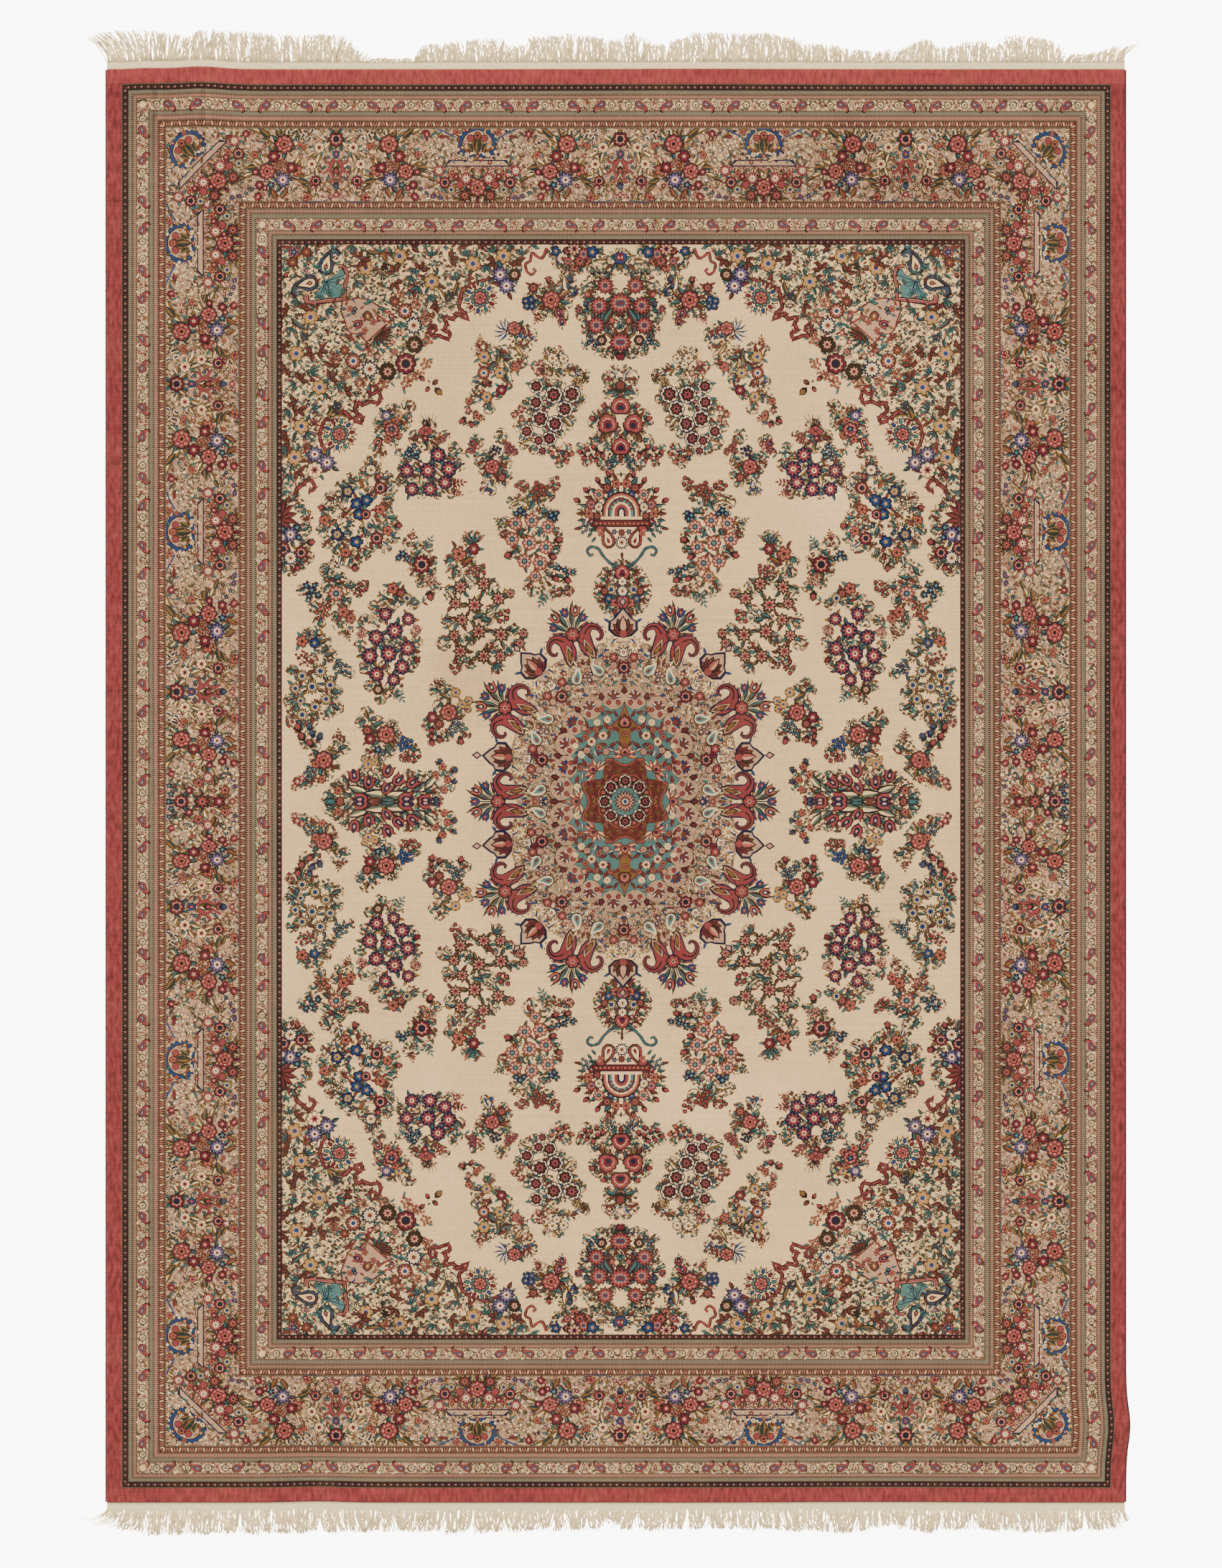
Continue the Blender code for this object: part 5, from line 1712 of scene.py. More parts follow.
def draw_under_arrow(spot):
    """A pale crown, a rosette and small flowers, under an arrow."""
    crown = [(-0.9, 0), (-0.6, 0.9), (0.1, 0.6), (0.9, 0.9), (0.5, 0.3), (1.0, 0)]
    paint_layers(spot, mirrored(crown), (-36, 8.5, "navy"), (-36, 6.6, "ivory"))
    draw_flower(spot.at(-36, 0, 0, 3.4), "dot_red")
    draw_flower(spot.at(-57, 0, 0, 9.5), "dark_rose")
    for side in (1, -1):
        draw_flower(spot.at(-43, 14 * side, 20, 6.8), "red_daisy")
        draw_flower(spot.at(-54, 14 * side, 0, 6.0), "daisy")
        draw_leaf(spot.at(-30, 24 * side, 160 * side), "navy", 8, 0.5)
        draw_flower(spot.at(-48, 24 * side, 0, 4.0), "dot_blue")
    draw_leaf(spot.at(-66, 0, 180), "rust", 9, 0.7)


def draw_clouds():
    """The ring of scalloped clouds, each with a red and navy fan, round the blue ground."""
    for u, v, turn in CLOUDS:
        cloud = Spot((u, v)).at(0, 0, turn)
        for radius, dye in ((16.5, "bronze"), (15.7, "wheat"), (13.6, "brick"), (13.0, "beige_rose")):
            cloud.paint(circle(20, radius), dye)
        for angle in range(-90, 91, 30):
            draw_leaf(cloud.at(1, 0, angle), "navy" if angle % 60 else "red", 11.0, 0.46)
        draw_flower(cloud.at(1, 0, 0, 4.6), "blue_heart")
        for side in (1, -1):
            draw_flower(cloud.at(-6.5, 6.5 * side, 0, 4.0), "red_daisy")
    for u, v, turn in ((31, 141, 76), (63, 124, 50), (82, 96, 30), (90, 62, 10), (94, 33, 2),
                       (96, 0, 0), (0, 150, 90)):
        heart = Spot((u, v)).at(0, 0, turn)
        draw_leaf(heart.at(-4, 0), "rust", 13, 0.7)
        draw_leaf(heart.at(-2, 0), "red", 9, 0.6)


def draw_medallion():
    """The medallion's quarter, from its rim of paisleys and tulips to its middle."""
    ground = Spot()
    spots = [(kind, Spot((u, v)).at(0, 0, turn)) for kind, u, v, turn in FINIALS]
    rim = [(150, 0), (154, 30), (158, 60), (152, 92), (146, 122), (132, 150), (114, 174),
           (90, 192), (62, 206), (32, 216), (0, 220)]
    ground.paint(all_round(rim), "sprigged")
    rim = np.array(all_round(rim)) * 0.97
    sow(lambda places: within(places, rim), (0.0, 0.0), rim.max(axis=0), 3.6, MEDALLION_SEED, 13)
    for kind, spot in spots:
        if kind == "tulip":
            draw_tulips(spot)
    for kind, spot in spots:
        if kind == "arrow":
            draw_arrow(spot)
            draw_under_arrow(spot)
        else:
            draw_curls(spot)
            draw_under_tulips(spot)
    for kind, spot in spots:
        if kind == "tulip":
            draw_flower(spot.at(0, 0, 0, 10.5), "red_daisy")
    blue = [(80, 0), (80, 32), (76, 64), (74, 92), (62, 114), (46, 128), (24, 138), (0, 140)]
    ground.paint(all_round(blue), "aqua")
    draw_clouds()
    draw_blue_ground()
    draw_quatrefoil()


BLUE_ROWS = """
leaf red: 26 104 15 60, 40 88 15 -60, 52 74 15 120, 30 78 14 20, 56 52 14 70, 16 78 14 150, 44 100 13 10
leaf red: 66 30 14 100, 62 84 13 40, 22 122 12 20, 52 104 13 80, 68 56 14 110, 36 66 13 160
leaf rust: 22 92 14 100, 48 62 14 30, 34 100 13 -40, 60 70 13 -20, 12 120 12 60, 70 44 12 -70
leaf navy: 20 72 13 20, 40 66 13 70, 58 36 12 90, 14 108 9 40, 66 66 9 10, 30 120 9 100
cream_pink: 30 90 7, 46 82 7, 24 112 6, 38 108 6, 60 64 6, 66 20 6, 68 76 5
blossom: 40 98 5.5, 20 100 5, 54 88 5.5, 36 74 5.5, 50 96 5, 62 46 5, 32 126 5
daisy: 52 70 6, 26 68 6, 56 100 5
"""
QUATREFOIL_RAYS = ((52, 0), (54, 8), (61, 15), (66, 23), (60, 31), (49, 38), (44, 45), (49, 52),
                   (60, 59), (66, 67), (61, 75), (54, 82), (52, 90))
QUATREFOIL = [(far * math.cos(math.radians(turn)), far * math.sin(math.radians(turn)))
              for far, turn in QUATREFOIL_RAYS]


def draw_water_lily(spot):
    """A lily with cream petals round its red heart, opening along the local x axis."""
    for side in (1, -1):
        draw_leaf(spot.at(-0.5, 0.5 * side, 78 * side), "navy", 1.15, 0.42, 0.1 * side)
    for turn in (-104, 104, -70, 70, -36, 36, 0):
        draw_leaf(spot.at(-0.35, 0, turn), "lotus", 1.45, 0.40)
    draw_palmette(spot.at(-0.05, 0, 0, 0.62), "salmon", "crimson", "brick")


def draw_blue_ground():
    """Flowers and red arabesques on the blue, and the brick ornament up its middle."""
    draw_table(Spot(), BLUE_ROWS, "brick")
    half = [(68, 0), (74, 7), (84, 9), (92, 7), (97, 15), (104, 18), (110, 13), (116, 7),
            (124, 4), (134, 0)]
    upright = Spot(axes=((0.0, 1.0), (-1.0, 0.0)))
    paint_layers(upright, mirrored(half), (0, 1, "brick"), (9.5, 0.9, "ochre"))
    draw_palmette(upright.at(108, 0, 0, 11), "brick", "salmon")
    draw_flower(upright.at(92, 0, 0, 5), "blossom")
    for side in (1, -1):
        draw_leaf(upright.at(96, 6 * side, 60 * side), "red", 12, 0.44)
        draw_leaf(upright.at(76, 3 * side, 50 * side), "rust", 11, 0.40)
    for side in (1, -1):
        draw_leaf(upright.at(62, 4 * side, 44 * side), "navy", 16, 0.34)


def draw_quatrefoil():
    """The rust heart of the medallion, its ring of rosettes and the star in the middle."""
    ground = Spot()
    whole = QUATREFOIL + [(-x, y) for x, y in QUATREFOIL[::-1][1:]]
    whole += [(x, -y) for x, y in whole[::-1][1:-1]]
    for scale, dye in ((1.0, "rust"), (0.975, "salmon"), (0.945, "russet")):
        ground.at(0, 0, 0, scale).paint(whole, dye)
    for far, turn in ((44, 8), (51, 23), (44, 36), (44, 54), (51, 67), (44, 82), (59, 23), (59, 67)):
        for side, dyes in ((1, "red"), (-1, "autumn")):
            draw_leaf(ground.at(0, 0, turn).at(far - 5, 0, 56 * side), dyes, 10, 0.40, 0.2)
        draw_flower(ground.at(0, 0, turn).at(far, 0, 0, 3.0), "blossom")
    for far, turn in ((63, 45), (68, 0), (68, 90)):
        draw_water_lily(ground.at(0, 0, turn).at(far, 0, 0, 12.5))
    for outline, dye in ((lobed(16, 39, 0.94), "salmon"), (lobed(16, 38, 0.94), "russet"),
                         (circle(40, 21.0), "navy"), (circle(40, 20.0), "aqua")):
        ground.paint(outline, dye)
    for turn in (0, 45, 90):
        draw_flower(ground.at(0, 0, turn).at(28, 0, 0, 9.4), "scallop")
    for turn in (22.5, 67.5):
        draw_bud(ground.at(0, 0, turn).at(31, 0, 0, 5.6), "maroon", "salmon")
    for radius, count, valley, dye in ((16.5, 16, 0.72, "maroon"), (14.5, 16, 0.60, "blush"),
                                       (10, 12, 0.6, "rose"), (7, 10, 0.7, "maroon")):
        ground.paint(rayed(count, radius, valley), dye)
    for sides, radius, dye in ((12, 4.4, "ivory"), (10, 3.0, "blue")):
        ground.paint(circle(sides, radius), dye)


def draw_cartoon():
    """The whole quarter, from the ground up."""
    CARTOON.start()
    for stripe in STRIPES:
        Spot().paint(inset_rectangle(stripe.inset), stripe.dye)
    inset = STRIPES[MAIN_BORDER].inset
    CARTOON.limit = (HALF_WIDTH - inset, HALF_LENGTH - inset)
    draw_main_border()
    sow_border()
    CARTOON.limit = (math.inf, math.inf)
    draw_narrow_borders()
    CARTOON.limit = (FIELD_U, FIELD_V)
    draw_field()
    draw_medallion()
    return CARTOON


# ---- weaving the cartoon into the pile -------------------------------------------------------
def split_line(start, end, step=STEP):
    """Points from start up to but not at end, no further apart than a step."""
    count = max(1, math.ceil(math.dist(start, end) / step))
    return [(start[0] + (end[0] - start[0]) * k / count, start[1] + (end[1] - start[1]) * k / count)
            for k in range(count)]


def inset_rectangle(inset, step=STEP):
    """The quarter's rectangle, so far in from the pile's edge, its long sides divided."""
    corners = [(0.0, 0.0), (HALF_WIDTH - inset, 0.0), (HALF_WIDTH - inset, HALF_LENGTH - inset),
               (0.0, HALF_LENGTH - inset)]
    return [p for a, b in zip(corners, corners[1:] + corners[:1]) for p in split_line(a, b, step)]


def triangulate(points, edges):
    """The quarter's triangles along every edge, and their middles, from the axis upwards."""
    found = delaunay_2d_cdt([Vector(point) for point in points], edges, [], 0, 1e-3, False)
    vertices, triangles = np.array([tuple(v) for v in found[0]]), np.array(found[2])
    middles = vertices[triangles].mean(axis=1)
    inside = ((middles > 0.0) & (middles < (HALF_WIDTH + RIM, HALF_LENGTH + RIM))).all(axis=1)
    triangles, middles = triangles[inside], middles[inside]
    order = np.argsort(middles[:, 1])
    return vertices, triangles[order], middles[order]


MAP_LOW, MAP_SPAN = 0.002, 0.996       # where a piece's UV map starts, and its width
SLACK = 0.60     # squares; a line's point this close to the line between its neighbours goes
PASSES = 6


def simplify(points, sides):
    """The sides, with the points left out that hardly bend a line."""
    near = {}
    for a, b in sides.tolist():
        near.setdefault(a, set()).add(b)
        near.setdefault(b, set()).add(a)
    for _ in range(PASSES):
        busy = set()
        for k in list(near):
            if k in busy or len(near[k]) != 2:
                continue
            a, b = near[k]
            along, off = points[b] - points[a], points[k] - points[a]
            length = math.hypot(*along)
            bend = abs(along[0] * off[1] - along[1] * off[0])
            if b in near[a] or length > STEP or bend > SLACK * length:
                continue
            near[a] = near[a] - {k} | {b}
            near[b] = near[b] - {k} | {a}
            del near[k]
            busy |= {a, b}
    return np.array([(a, b) for a in near for b in near[a] if a < b])


def inlay(cartoon):
    """Triangulate the quarter along the lines that show; return vertices, triangles and dyes."""
    points, edges = [], []

    def add(outline, closed=True):
        first = len(points)
        points.extend(map(tuple, outline))
        count = len(outline)
        edges.extend((first + k, first + (k + 1) % count) for k in range(count - (not closed)))

    width, length = HALF_WIDTH + RIM, HALF_LENGTH + RIM
    for cut in (width / 2 - RIM / 2, width):
        add(split_line((cut, 0.0), (cut, length), EDGE_STEP) + [(cut, length)], closed=False)
    for cut in (length / 2 - RIM / 2, length):
        add(split_line((0.0, cut), (width, cut), EDGE_STEP) + [(width, cut)], closed=False)
    add(inset_rectangle(0.0, EDGE_STEP))
    add(inset_rectangle(EDGE_ROUND, EDGE_STEP))
    for x in np.arange(STEP / 2, HALF_WIDTH, STEP):
        points.extend((x, y) for y in np.arange(STEP / 2, HALF_LENGTH, STEP))
    frame_points, frame_edges = list(points), list(edges)
    for outline, _ in cartoon.shapes:
        add(outline)
    vertices, triangles, middles = triangulate(points, edges)
    dyes = np.zeros(len(triangles), dtype=int)
    for outline, dye in cartoon.shapes:
        low, high = outline.min(axis=0), outline.max(axis=0)
        first, last = np.searchsorted(middles[:, 1], (low[1], high[1]))
        near = first + np.flatnonzero((middles[first:last, 0] > low[0])
                                      & (middles[first:last, 0] < high[0]))
        if len(near):
            dyes[near[within(middles[near], outline)]] = dye
    sides = np.sort(triangles[:, [[0, 1], [1, 2], [2, 0]]].reshape(-1, 2), axis=1)
    owners = np.repeat(np.arange(len(triangles)), 3)
    order = np.lexsort(sides.T)
    sides, owners = sides[order], owners[order]
    shared = np.flatnonzero((sides[1:] == sides[:-1]).all(axis=1))
    shown = shared[dyes[owners[shared]] != dyes[owners[shared + 1]]]
    used, ends = np.unique(simplify(vertices, sides[shown]), return_inverse=True)
    ends = ends.reshape(-1, 2) + len(frame_points)
    lines = frame_edges + [tuple(end) for end in ends.tolist()]
    tree = BVHTree.FromPolygons([(x, y, 0.0) for x, y in vertices.tolist()], triangles.tolist())
    vertices, triangles, middles = triangulate(frame_points + vertices[used].tolist(), lines)
    under = [tree.ray_cast((x, y, 1.0), (0.0, 0.0, -1.0))[2] for x, y in middles.tolist()]
    return vertices, triangles, middles, dyes[np.array([0 if k is None else k for k in under])]


def within(points, outline):
    """Which points lie inside a closed outline."""
    x, y = points[:, 0], points[:, 1]
    odd = np.zeros(len(points), dtype=bool)
    for (x0, y0), (x1, y1) in zip(outline, np.roll(outline, -1, axis=0)):
        if y0 != y1:
            crosses = (y0 > y) != (y1 > y)
            odd ^= crosses & (x < x0 + (y - y0) * (x1 - x0) / (y1 - y0))
    return odd


def make_piece(name, places, faces, normals=None, smooth=True):
    """A new object from arrays of places and triangles, with its upward normals."""
    mesh = bpy.data.meshes.new(name)
    faces = faces.tolist() if isinstance(faces, np.ndarray) else faces
    mesh.from_pydata(np.asarray(places).tolist(), [], faces)
    if smooth:
        mesh.shade_smooth()
    if normals is not None:
        mesh.normals_split_custom_set_from_vertices(np.asarray(normals).tolist())
    piece = bpy.data.objects.new(name, mesh)
    bpy.context.scene.collection.objects.link(piece)
    return piece


def lay_tile(name, side, end, vertices, triangles, dyes):
    """One tile of the pile, mirrored to its quarter of the rug and laid over the ripples."""
    used, places = np.unique(triangles, return_inverse=True)
    faces = places.reshape(-1, 3)
    if side * end < 0:
        faces = faces[:, ::-1]
    drawn = vertices[used]
    past = np.maximum(drawn - (HALF_WIDTH, HALF_LENGTH), 0.0).max(axis=1)
    s = side * np.minimum(drawn[:, 0], HALF_WIDTH)
    t = end * np.minimum(drawn[:, 1], HALF_LENGTH)
    height = THICKNESS - past / RIM * (THICKNESS - PILE_FOOT)
    where, normals = on_rug(s, t, height)
    out = np.zeros_like(normals)
    out[:, 0] = side * (drawn[:, 0] > HALF_WIDTH - 0.01)
    out[:, 1] = end * (drawn[:, 1] > HALF_LENGTH - 0.01)
    lean = 0.7 * np.minimum(1.0, np.abs(out).sum(axis=1))[:, None]
    normals = normals * (1 - lean) + out * lean
    piece = make_piece(name, where, faces, normals)
    corners = faces.ravel()
    mesh = piece.data
    dyed = mesh.color_attributes.new("dye", "FLOAT_COLOR", "CORNER")
    rgba = np.array([colour(rgb) for rgb in DYES.values()])
    dyed.data.foreach_set("color", np.repeat(rgba[dyes], 3, axis=0).ravel())
    weave = mesh.attributes.new("weave", "FLOAT_VECTOR", "CORNER")
    pattern = np.repeat(PATTERN_OF_DYE[dyes], 3)
    weave.data.foreach_set("vector", np.stack([s[corners], t[corners], pattern], axis=1).ravel())
    uv = mesh.uv_layers.new(name="OFBake")
    low, high = drawn.min(axis=0), drawn.max(axis=0)
    uv.data.foreach_set("uv", (MAP_LOW + MAP_SPAN * (drawn[corners] - low) / (high - low)).ravel())
    return piece


# ---- materials -------------------------------------------------------------------------------
def _sum(operation, reflected=False):
    """A method of Socket that adds the Math node of an operation."""
    def method(self, *others):
        values = (*others, self) if reflected else (self, *others)
        return self.graph.node("ShaderNodeMath", {"operation": operation},
                               dict(enumerate(values)))
    return method


class Socket:
    """An output of a shader node, on which sums can be written as in Python."""

    def __init__(self, graph, link):
        self.graph, self.link = graph, link

    __add__, __radd__ = _sum("ADD"), _sum("ADD", reflected=True)
    __sub__, __rsub__ = _sum("SUBTRACT"), _sum("SUBTRACT", reflected=True)
    __mul__, __rmul__ = _sum("MULTIPLY"), _sum("MULTIPLY", reflected=True)
    __truediv__, __abs__ = _sum("DIVIDE"), _sum("ABSOLUTE")
    above, most, least = _sum("GREATER_THAN"), _sum("MAXIMUM"), _sum("MINIMUM")
    floor, part = _sum("FLOOR"), _sum("FRACT")


class Graph:
    """A new material's node tree."""

    def __init__(self, name, roughness, sheen=0.0, specular=0.3):
        self.material = bpy.data.materials.new(name)
        self.material.use_nodes = True
        self.nodes = self.material.node_tree.nodes
        self.links = self.material.node_tree.links
        self.shader = self.nodes["Principled BSDF"]
        self.shader.inputs["Roughness"].default_value = roughness
        self.shader.inputs["Specular IOR Level"].default_value = specular
        self.shader.inputs["Sheen Weight"].default_value = sheen
        self.shader.inputs["Sheen Roughness"].default_value = 0.5

    def feed(self, socket, value):
        if isinstance(value, Socket):
            self.links.new(value.link, socket)
        else:
            socket.default_value = value

    def node(self, kind, settings=None, inputs=None, output=0):
        """A node of a type, its settings first, then the values or links of its inputs."""
        node = self.nodes.new(kind)
        for key, value in (settings or {}).items():
            if key == "stops":
                ramp = node.color_ramp
                while len(ramp.elements) < len(value):
                    ramp.elements.new(0.5)
                for element, (place, colour) in zip(ramp.elements, value):
                    element.position, element.color = place, colour
            elif key.startswith("color_ramp."):
                setattr(node.color_ramp, key.partition(".")[2], value)
            else:
                setattr(node, key, value)
        for key, value in (inputs or {}).items():
            self.feed(node.inputs[key], value)
        return Socket(self, node.outputs[output])

    def mix(self, share, first, second, blend="MIX"):
        return self.node("ShaderNodeMix", {"data_type": "RGBA", "blend_type": blend},
                         {0: share, 6: first, 7: second}, 2)

    def shaded(self, base, shade):
        """A colour made lighter or darker by a number."""
        return self.mix(1.0, base, self.vector(shade, shade, shade), "MULTIPLY")

    def place(self):
        """The place on the piece, in metres."""
        return self.node("ShaderNodeTexCoord", None, None, 3)

    def vector(self, x, y, z=0.0):
        return self.node("ShaderNodeCombineXYZ", None, {0: x, 1: y, 2: z})

    def parts(self, vector):
        """The three numbers of a vector socket."""
        return [self.node("ShaderNodeSeparateXYZ", None, {0: vector}, k) for k in range(3)]

    def noise(self, place, scale, detail=2.0):
        return self.node("ShaderNodeTexNoise", None,
                         {"Vector": place, "Scale": scale, "Detail": detail})

    def to_shader(self, name, value):
        self.feed(self.shader.inputs[name], value)

    def bump(self, height, strength, distance):
        self.to_shader("Normal", self.node("ShaderNodeBump", None,
                                           {"Height": height, "Strength": strength,
                                            "Distance": distance}))


def colour(rgb):
    """The dyed colour of a dye's whole numbers."""
    return steep(linear(rgb))


def ridge(value):
    """1 where a socket's number is whole, falling to 0 half way between."""
    return abs(value.part() - 0.5) * 2.0


def strewn(g, s, t, pattern, base):
    """Tiny leaves, flowers and tendrils over the grounds that carry them."""
    wander = g.noise(g.vector(s, t), 0.085, 1.0)
    tendril = (TENDRIL / 2 - abs(wander - 0.5)).above(0.0)
    base = g.mix(pattern.above(3.5) * tendril, base, colour(DYES["moss"]))
    for sprig in SPRIGS:
        turn = math.radians(sprig.turn)
        along = s * math.cos(turn) + t * math.sin(turn)
        across = (t * math.cos(turn) - s * math.sin(turn)) * sprig.narrow
        settings = {"voronoi_dimensions": "2D", "distance": sprig.metric}
        inputs = {"Vector": g.vector(along, across), "Scale": sprig.scale}
        near = g.node("ShaderNodeTexVoronoi", settings, inputs)
        chance = g.parts(g.node("ShaderNodeTexVoronoi", settings, inputs, 1))[0]
        whole, heart = (sprig.size - near).above(0.0), (sprig.size * sprig.heart - near).above(0.0)
        for number, dyes in sprig.dyes.items():
            here = (0.5 - abs(pattern - number)).above(0.0)
            stops = [(k / len(dyes), colour(DYES[name])) for k, name in enumerate(dyes)]
            tint = g.node("ShaderNodeValToRGB", {"color_ramp.interpolation": "CONSTANT",
                                                 "stops": stops}, {0: chance})
            inner = (colour(DYES["ivory"]), tint)[sprig.outlined]
            base = g.mix(here * whole, base, (tint, colour(DYES["olive"]))[sprig.outlined])
            base = g.mix(here * heart, base, inner)
    return base


DOT_GAP = 0.32                # share of a dotted line's pitch that is left pale
TENDRIL = 0.040
# tiny sprigs: the way they point, how close, how narrow, how big, how big their heart, whether
# they have an outline, and their dyes on the rosy and cream grounds and in the field
Sprig = namedtuple("Sprig", "turn scale narrow size heart metric outlined dyes")
SPRIGS = (
    Sprig(35.0, 0.090, 2.0, 0.34, 0.66, "MANHATTAN", True,
          {5: ("rust", "teal", "wheat", "brick"), 6: ("teal", "rust", "fern", "brick")}),
    Sprig(-40.0, 0.085, 2.1, 0.34, 0.66, "MANHATTAN", True,
          {4: ("ochre", "ivory", "sage", "brick"), 5: ("teal", "cream", "rust", "teal"),
           6: ("rust", "teal", "moss", "brick")}),
    Sprig(70.0, 0.100, 1.9, 0.28, 0.50, "MANHATTAN", False,
          {4: ("moss", "wheat", "sand", "ochre")}),
    Sprig(0.0, 0.105, 1.0, 0.20, 0.45, "EUCLIDEAN", False,
          {4: ("crimson", "brick", "ivory", "navy"), 5: ("cream", "navy", "rust", "cream"),
           6: ("brick", "rose", "navy", "rust")}),
)


# painted light and shade: lighter and darker patches where the folds and the pile's lie catch the light,
# and a darker patch over the medallion, in squares from the middle
Patch = namedtuple("Patch", "s t half_width half_length tone")
LIGHT_AND_SHADE_PATCHES = [Patch(*row) for row in (
    (332, 867, 210, 70, -0.15), (522, -368, 40, 120, -0.18), (534, 609, 24, 140, 0.2),
    (-330, 620, 200, 160, -0.07), (330, 620, 200, 160, 0.07), (-644, 925, 5, 80, -0.22),
    (-636, 925, 5, 80, 0.16), (-579, 925, 5, 80, -0.2), (-571, 925, 5, 80, 0.14),
    (-60, 420, 140, 60, -0.08), (120, -420, 160, 60, 0.07), (560, -890, 120, 30, 0.1),
    (0, -10, 250, 300, -0.12), (0, 0, 170, 230, -0.1), (-215, 180, 60, 90, -0.16),
    (300, 430, 130, 90, 0.16))]


def pile_material(wear):
    """Hand-knotted wool: dyed knots, stripes of dots, uneven rows and a soft nap."""
    g = Graph("knotted_wool", 0.92, sheen=0.12, specular=0.15)
    dye = g.node("ShaderNodeAttribute", {"attribute_name": "dye"})
    weave = g.node("ShaderNodeAttribute", {"attribute_name": "weave"}, None, 1)
    s, t, pattern = g.parts(weave)
    from_side, from_end = HALF_WIDTH - abs(s), HALF_LENGTH - abs(t)
    inset = from_side.least(from_end)
    on_side = from_end.above(from_side)
    along = on_side * abs(t) + (1.0 - on_side) * abs(s)
    pitch = on_side * (SIDE_DOTS - END_DOTS) + END_DOTS
    dots = (along / pitch).part().above(DOT_GAP)
    dotted = (1.0 - abs(pattern - 1.0)).above(0.5)
    diagonal = ((along + inset) / LATTICE_PITCH).part().above(LATTICE_GAP)
    latticed = (1.0 - abs(pattern - 2.0)).above(0.5)
    zigzag = ((along - inset * ZIGZAG_SLOPE) / ZIGZAG_PITCH).part().above(ZIGZAG_GAP)
    zigzagged = (1.0 - abs(pattern - 3.0)).above(0.5)
    base = g.mix(dotted * dots * 0.96, dye, colour(DYES["ink"]))
    base = g.mix(latticed * diagonal * 0.7, base, colour(DYES["fern"]))
    base = g.mix(zigzagged * zigzag * 0.35, base, colour(DYES["blush"]))
    base = strewn(g, s, t, pattern, base)
    knot = g.vector((s / KNOT_ACROSS).floor(), (t / KNOT_ALONG).floor())
    shade = g.node("ShaderNodeTexWhiteNoise", {"noise_dimensions": "2D"}, {"Vector": knot})
    rows = g.noise(g.vector(s * 0.004, t * 0.35), 1.0, 3.0)
    clouds = g.noise(g.vector(s * 0.010, t * 0.006), 1.0, 3.0)
    mottle = g.noise(g.vector(s * 0.22, t * 0.07, 7.0), 1.0, 3.0) - 0.5
    mottle = mottle * (0.3 + (RED_EDGE - inset).above(0.0) * 1.7)
    tone = 0.85 + shade * 0.12 + (rows - 0.5) * 0.44 + (clouds - 0.5) * 0.36 + mottle
    # painted sheen: the end bands lighter than the sides, the top more than the bottom
    tone = tone + t.above(HALF_LENGTH - SHEEN_END) * 0.34
    tone = tone + (-SHEEN_END - t).above(HALF_LENGTH - 2 * SHEEN_END) * 0.14
    # painted light and shade of the folds and the pile's lie, as lighter and darker patches
    for patch in LIGHT_AND_SHADE_PATCHES:
        across, up = (s - patch.s) / patch.half_width, (t - patch.t) / patch.half_length
        tone = tone + (1.0 - across * across - up * up).most(0.0) * patch.tone
    base = g.shaded(base, tone)
    worn = g.noise(g.vector(s * 0.02, t * 0.012, 4.0), 1.0, 4.0)
    base = g.mix((worn - 0.45).least(0.2) * wear, base, colour(DYES["sand"]))
    g.to_shader("Base Color", base)
    across_knot = abs((s / KNOT_ACROSS).part() - 0.5)
    along_knot = abs((t / KNOT_ALONG).part() - 0.5)
    nap = g.noise(g.vector(s, t), 1.6, 2.0)
    g.bump((0.5 - across_knot) * 0.6 + (0.5 - along_knot) * 0.8 + nap * 0.6 + shade * 0.3,
           0.55, 0.0012)
    return g.material


FLOOR_GLOW = 8.0


def cord_material(dye):
    """Wool overcast tightly round the edge."""
    g = Graph("overcast_wool", 0.90, sheen=0.15, specular=0.15)
    uv = g.node("ShaderNodeUVMap", {"uv_map": "OFBake"})
    round_it, along, _ = g.parts(uv)
    turns = along * (PILE_LENGTH / WRAP_PITCH) + round_it
    wrap = ridge(turns)
    patch = g.noise(g.vector(0.0, along * 90.0), 1.0, 3.0)
    # the grooves between the wraps are painted darker, as painted shade
    shade = 0.70 + patch * 0.45 - wrap * 0.18
    g.to_shader("Base Color", g.shaded(steep(dye), shade))
    g.bump(1.0 - wrap, 0.7, 0.0008)
    return g.material


def band_material(dye):
    """Plain-woven cotton: weft rows across the warps."""
    g = Graph("plain_woven_cotton", 0.88, sheen=0.08, specular=0.2)
    x, y, _ = g.parts(g.place())
    warp = ridge(x / YARN_PITCH)
    weft = ridge(y / WEFT_PITCH)
    patch = g.noise(g.vector(x * 40.0, y * 160.0), 1.0, 3.0)
    # the grooves between warps and wefts are painted darker, as painted shade
    shade = 0.98 + patch * 0.26 - warp * 0.12 - weft * 0.10
    g.to_shader("Base Color", g.shaded(steep(dye), shade))
    g.bump(2.0 - warp - weft, 0.6, 0.0006)
    return g.material


def yarn_material(dye):
    """Plied cotton, each strand a little different and soiled towards its tip."""
    g = Graph("plied_cotton", 0.86, sheen=0.10, specular=0.2)
    yarn = g.node("ShaderNodeAttribute", {"attribute_name": "yarn"}, None, 1)
    tone, along, round_it = g.parts(yarn)
    ply = ridge(along * PLIES + round_it)
    # the grooves between the plies are painted darker, as painted shade
    shade = 0.90 + tone * 0.32 - ply * 0.14
    base = g.shaded(steep(dye), shade)
    base = g.mix((1.0 - tone) * 0.16, base, colour(DYES["sand"]))
    g.to_shader("Base Color", base)
    g.bump(1.0 - ply, 0.5, 0.0005)
    return g.material


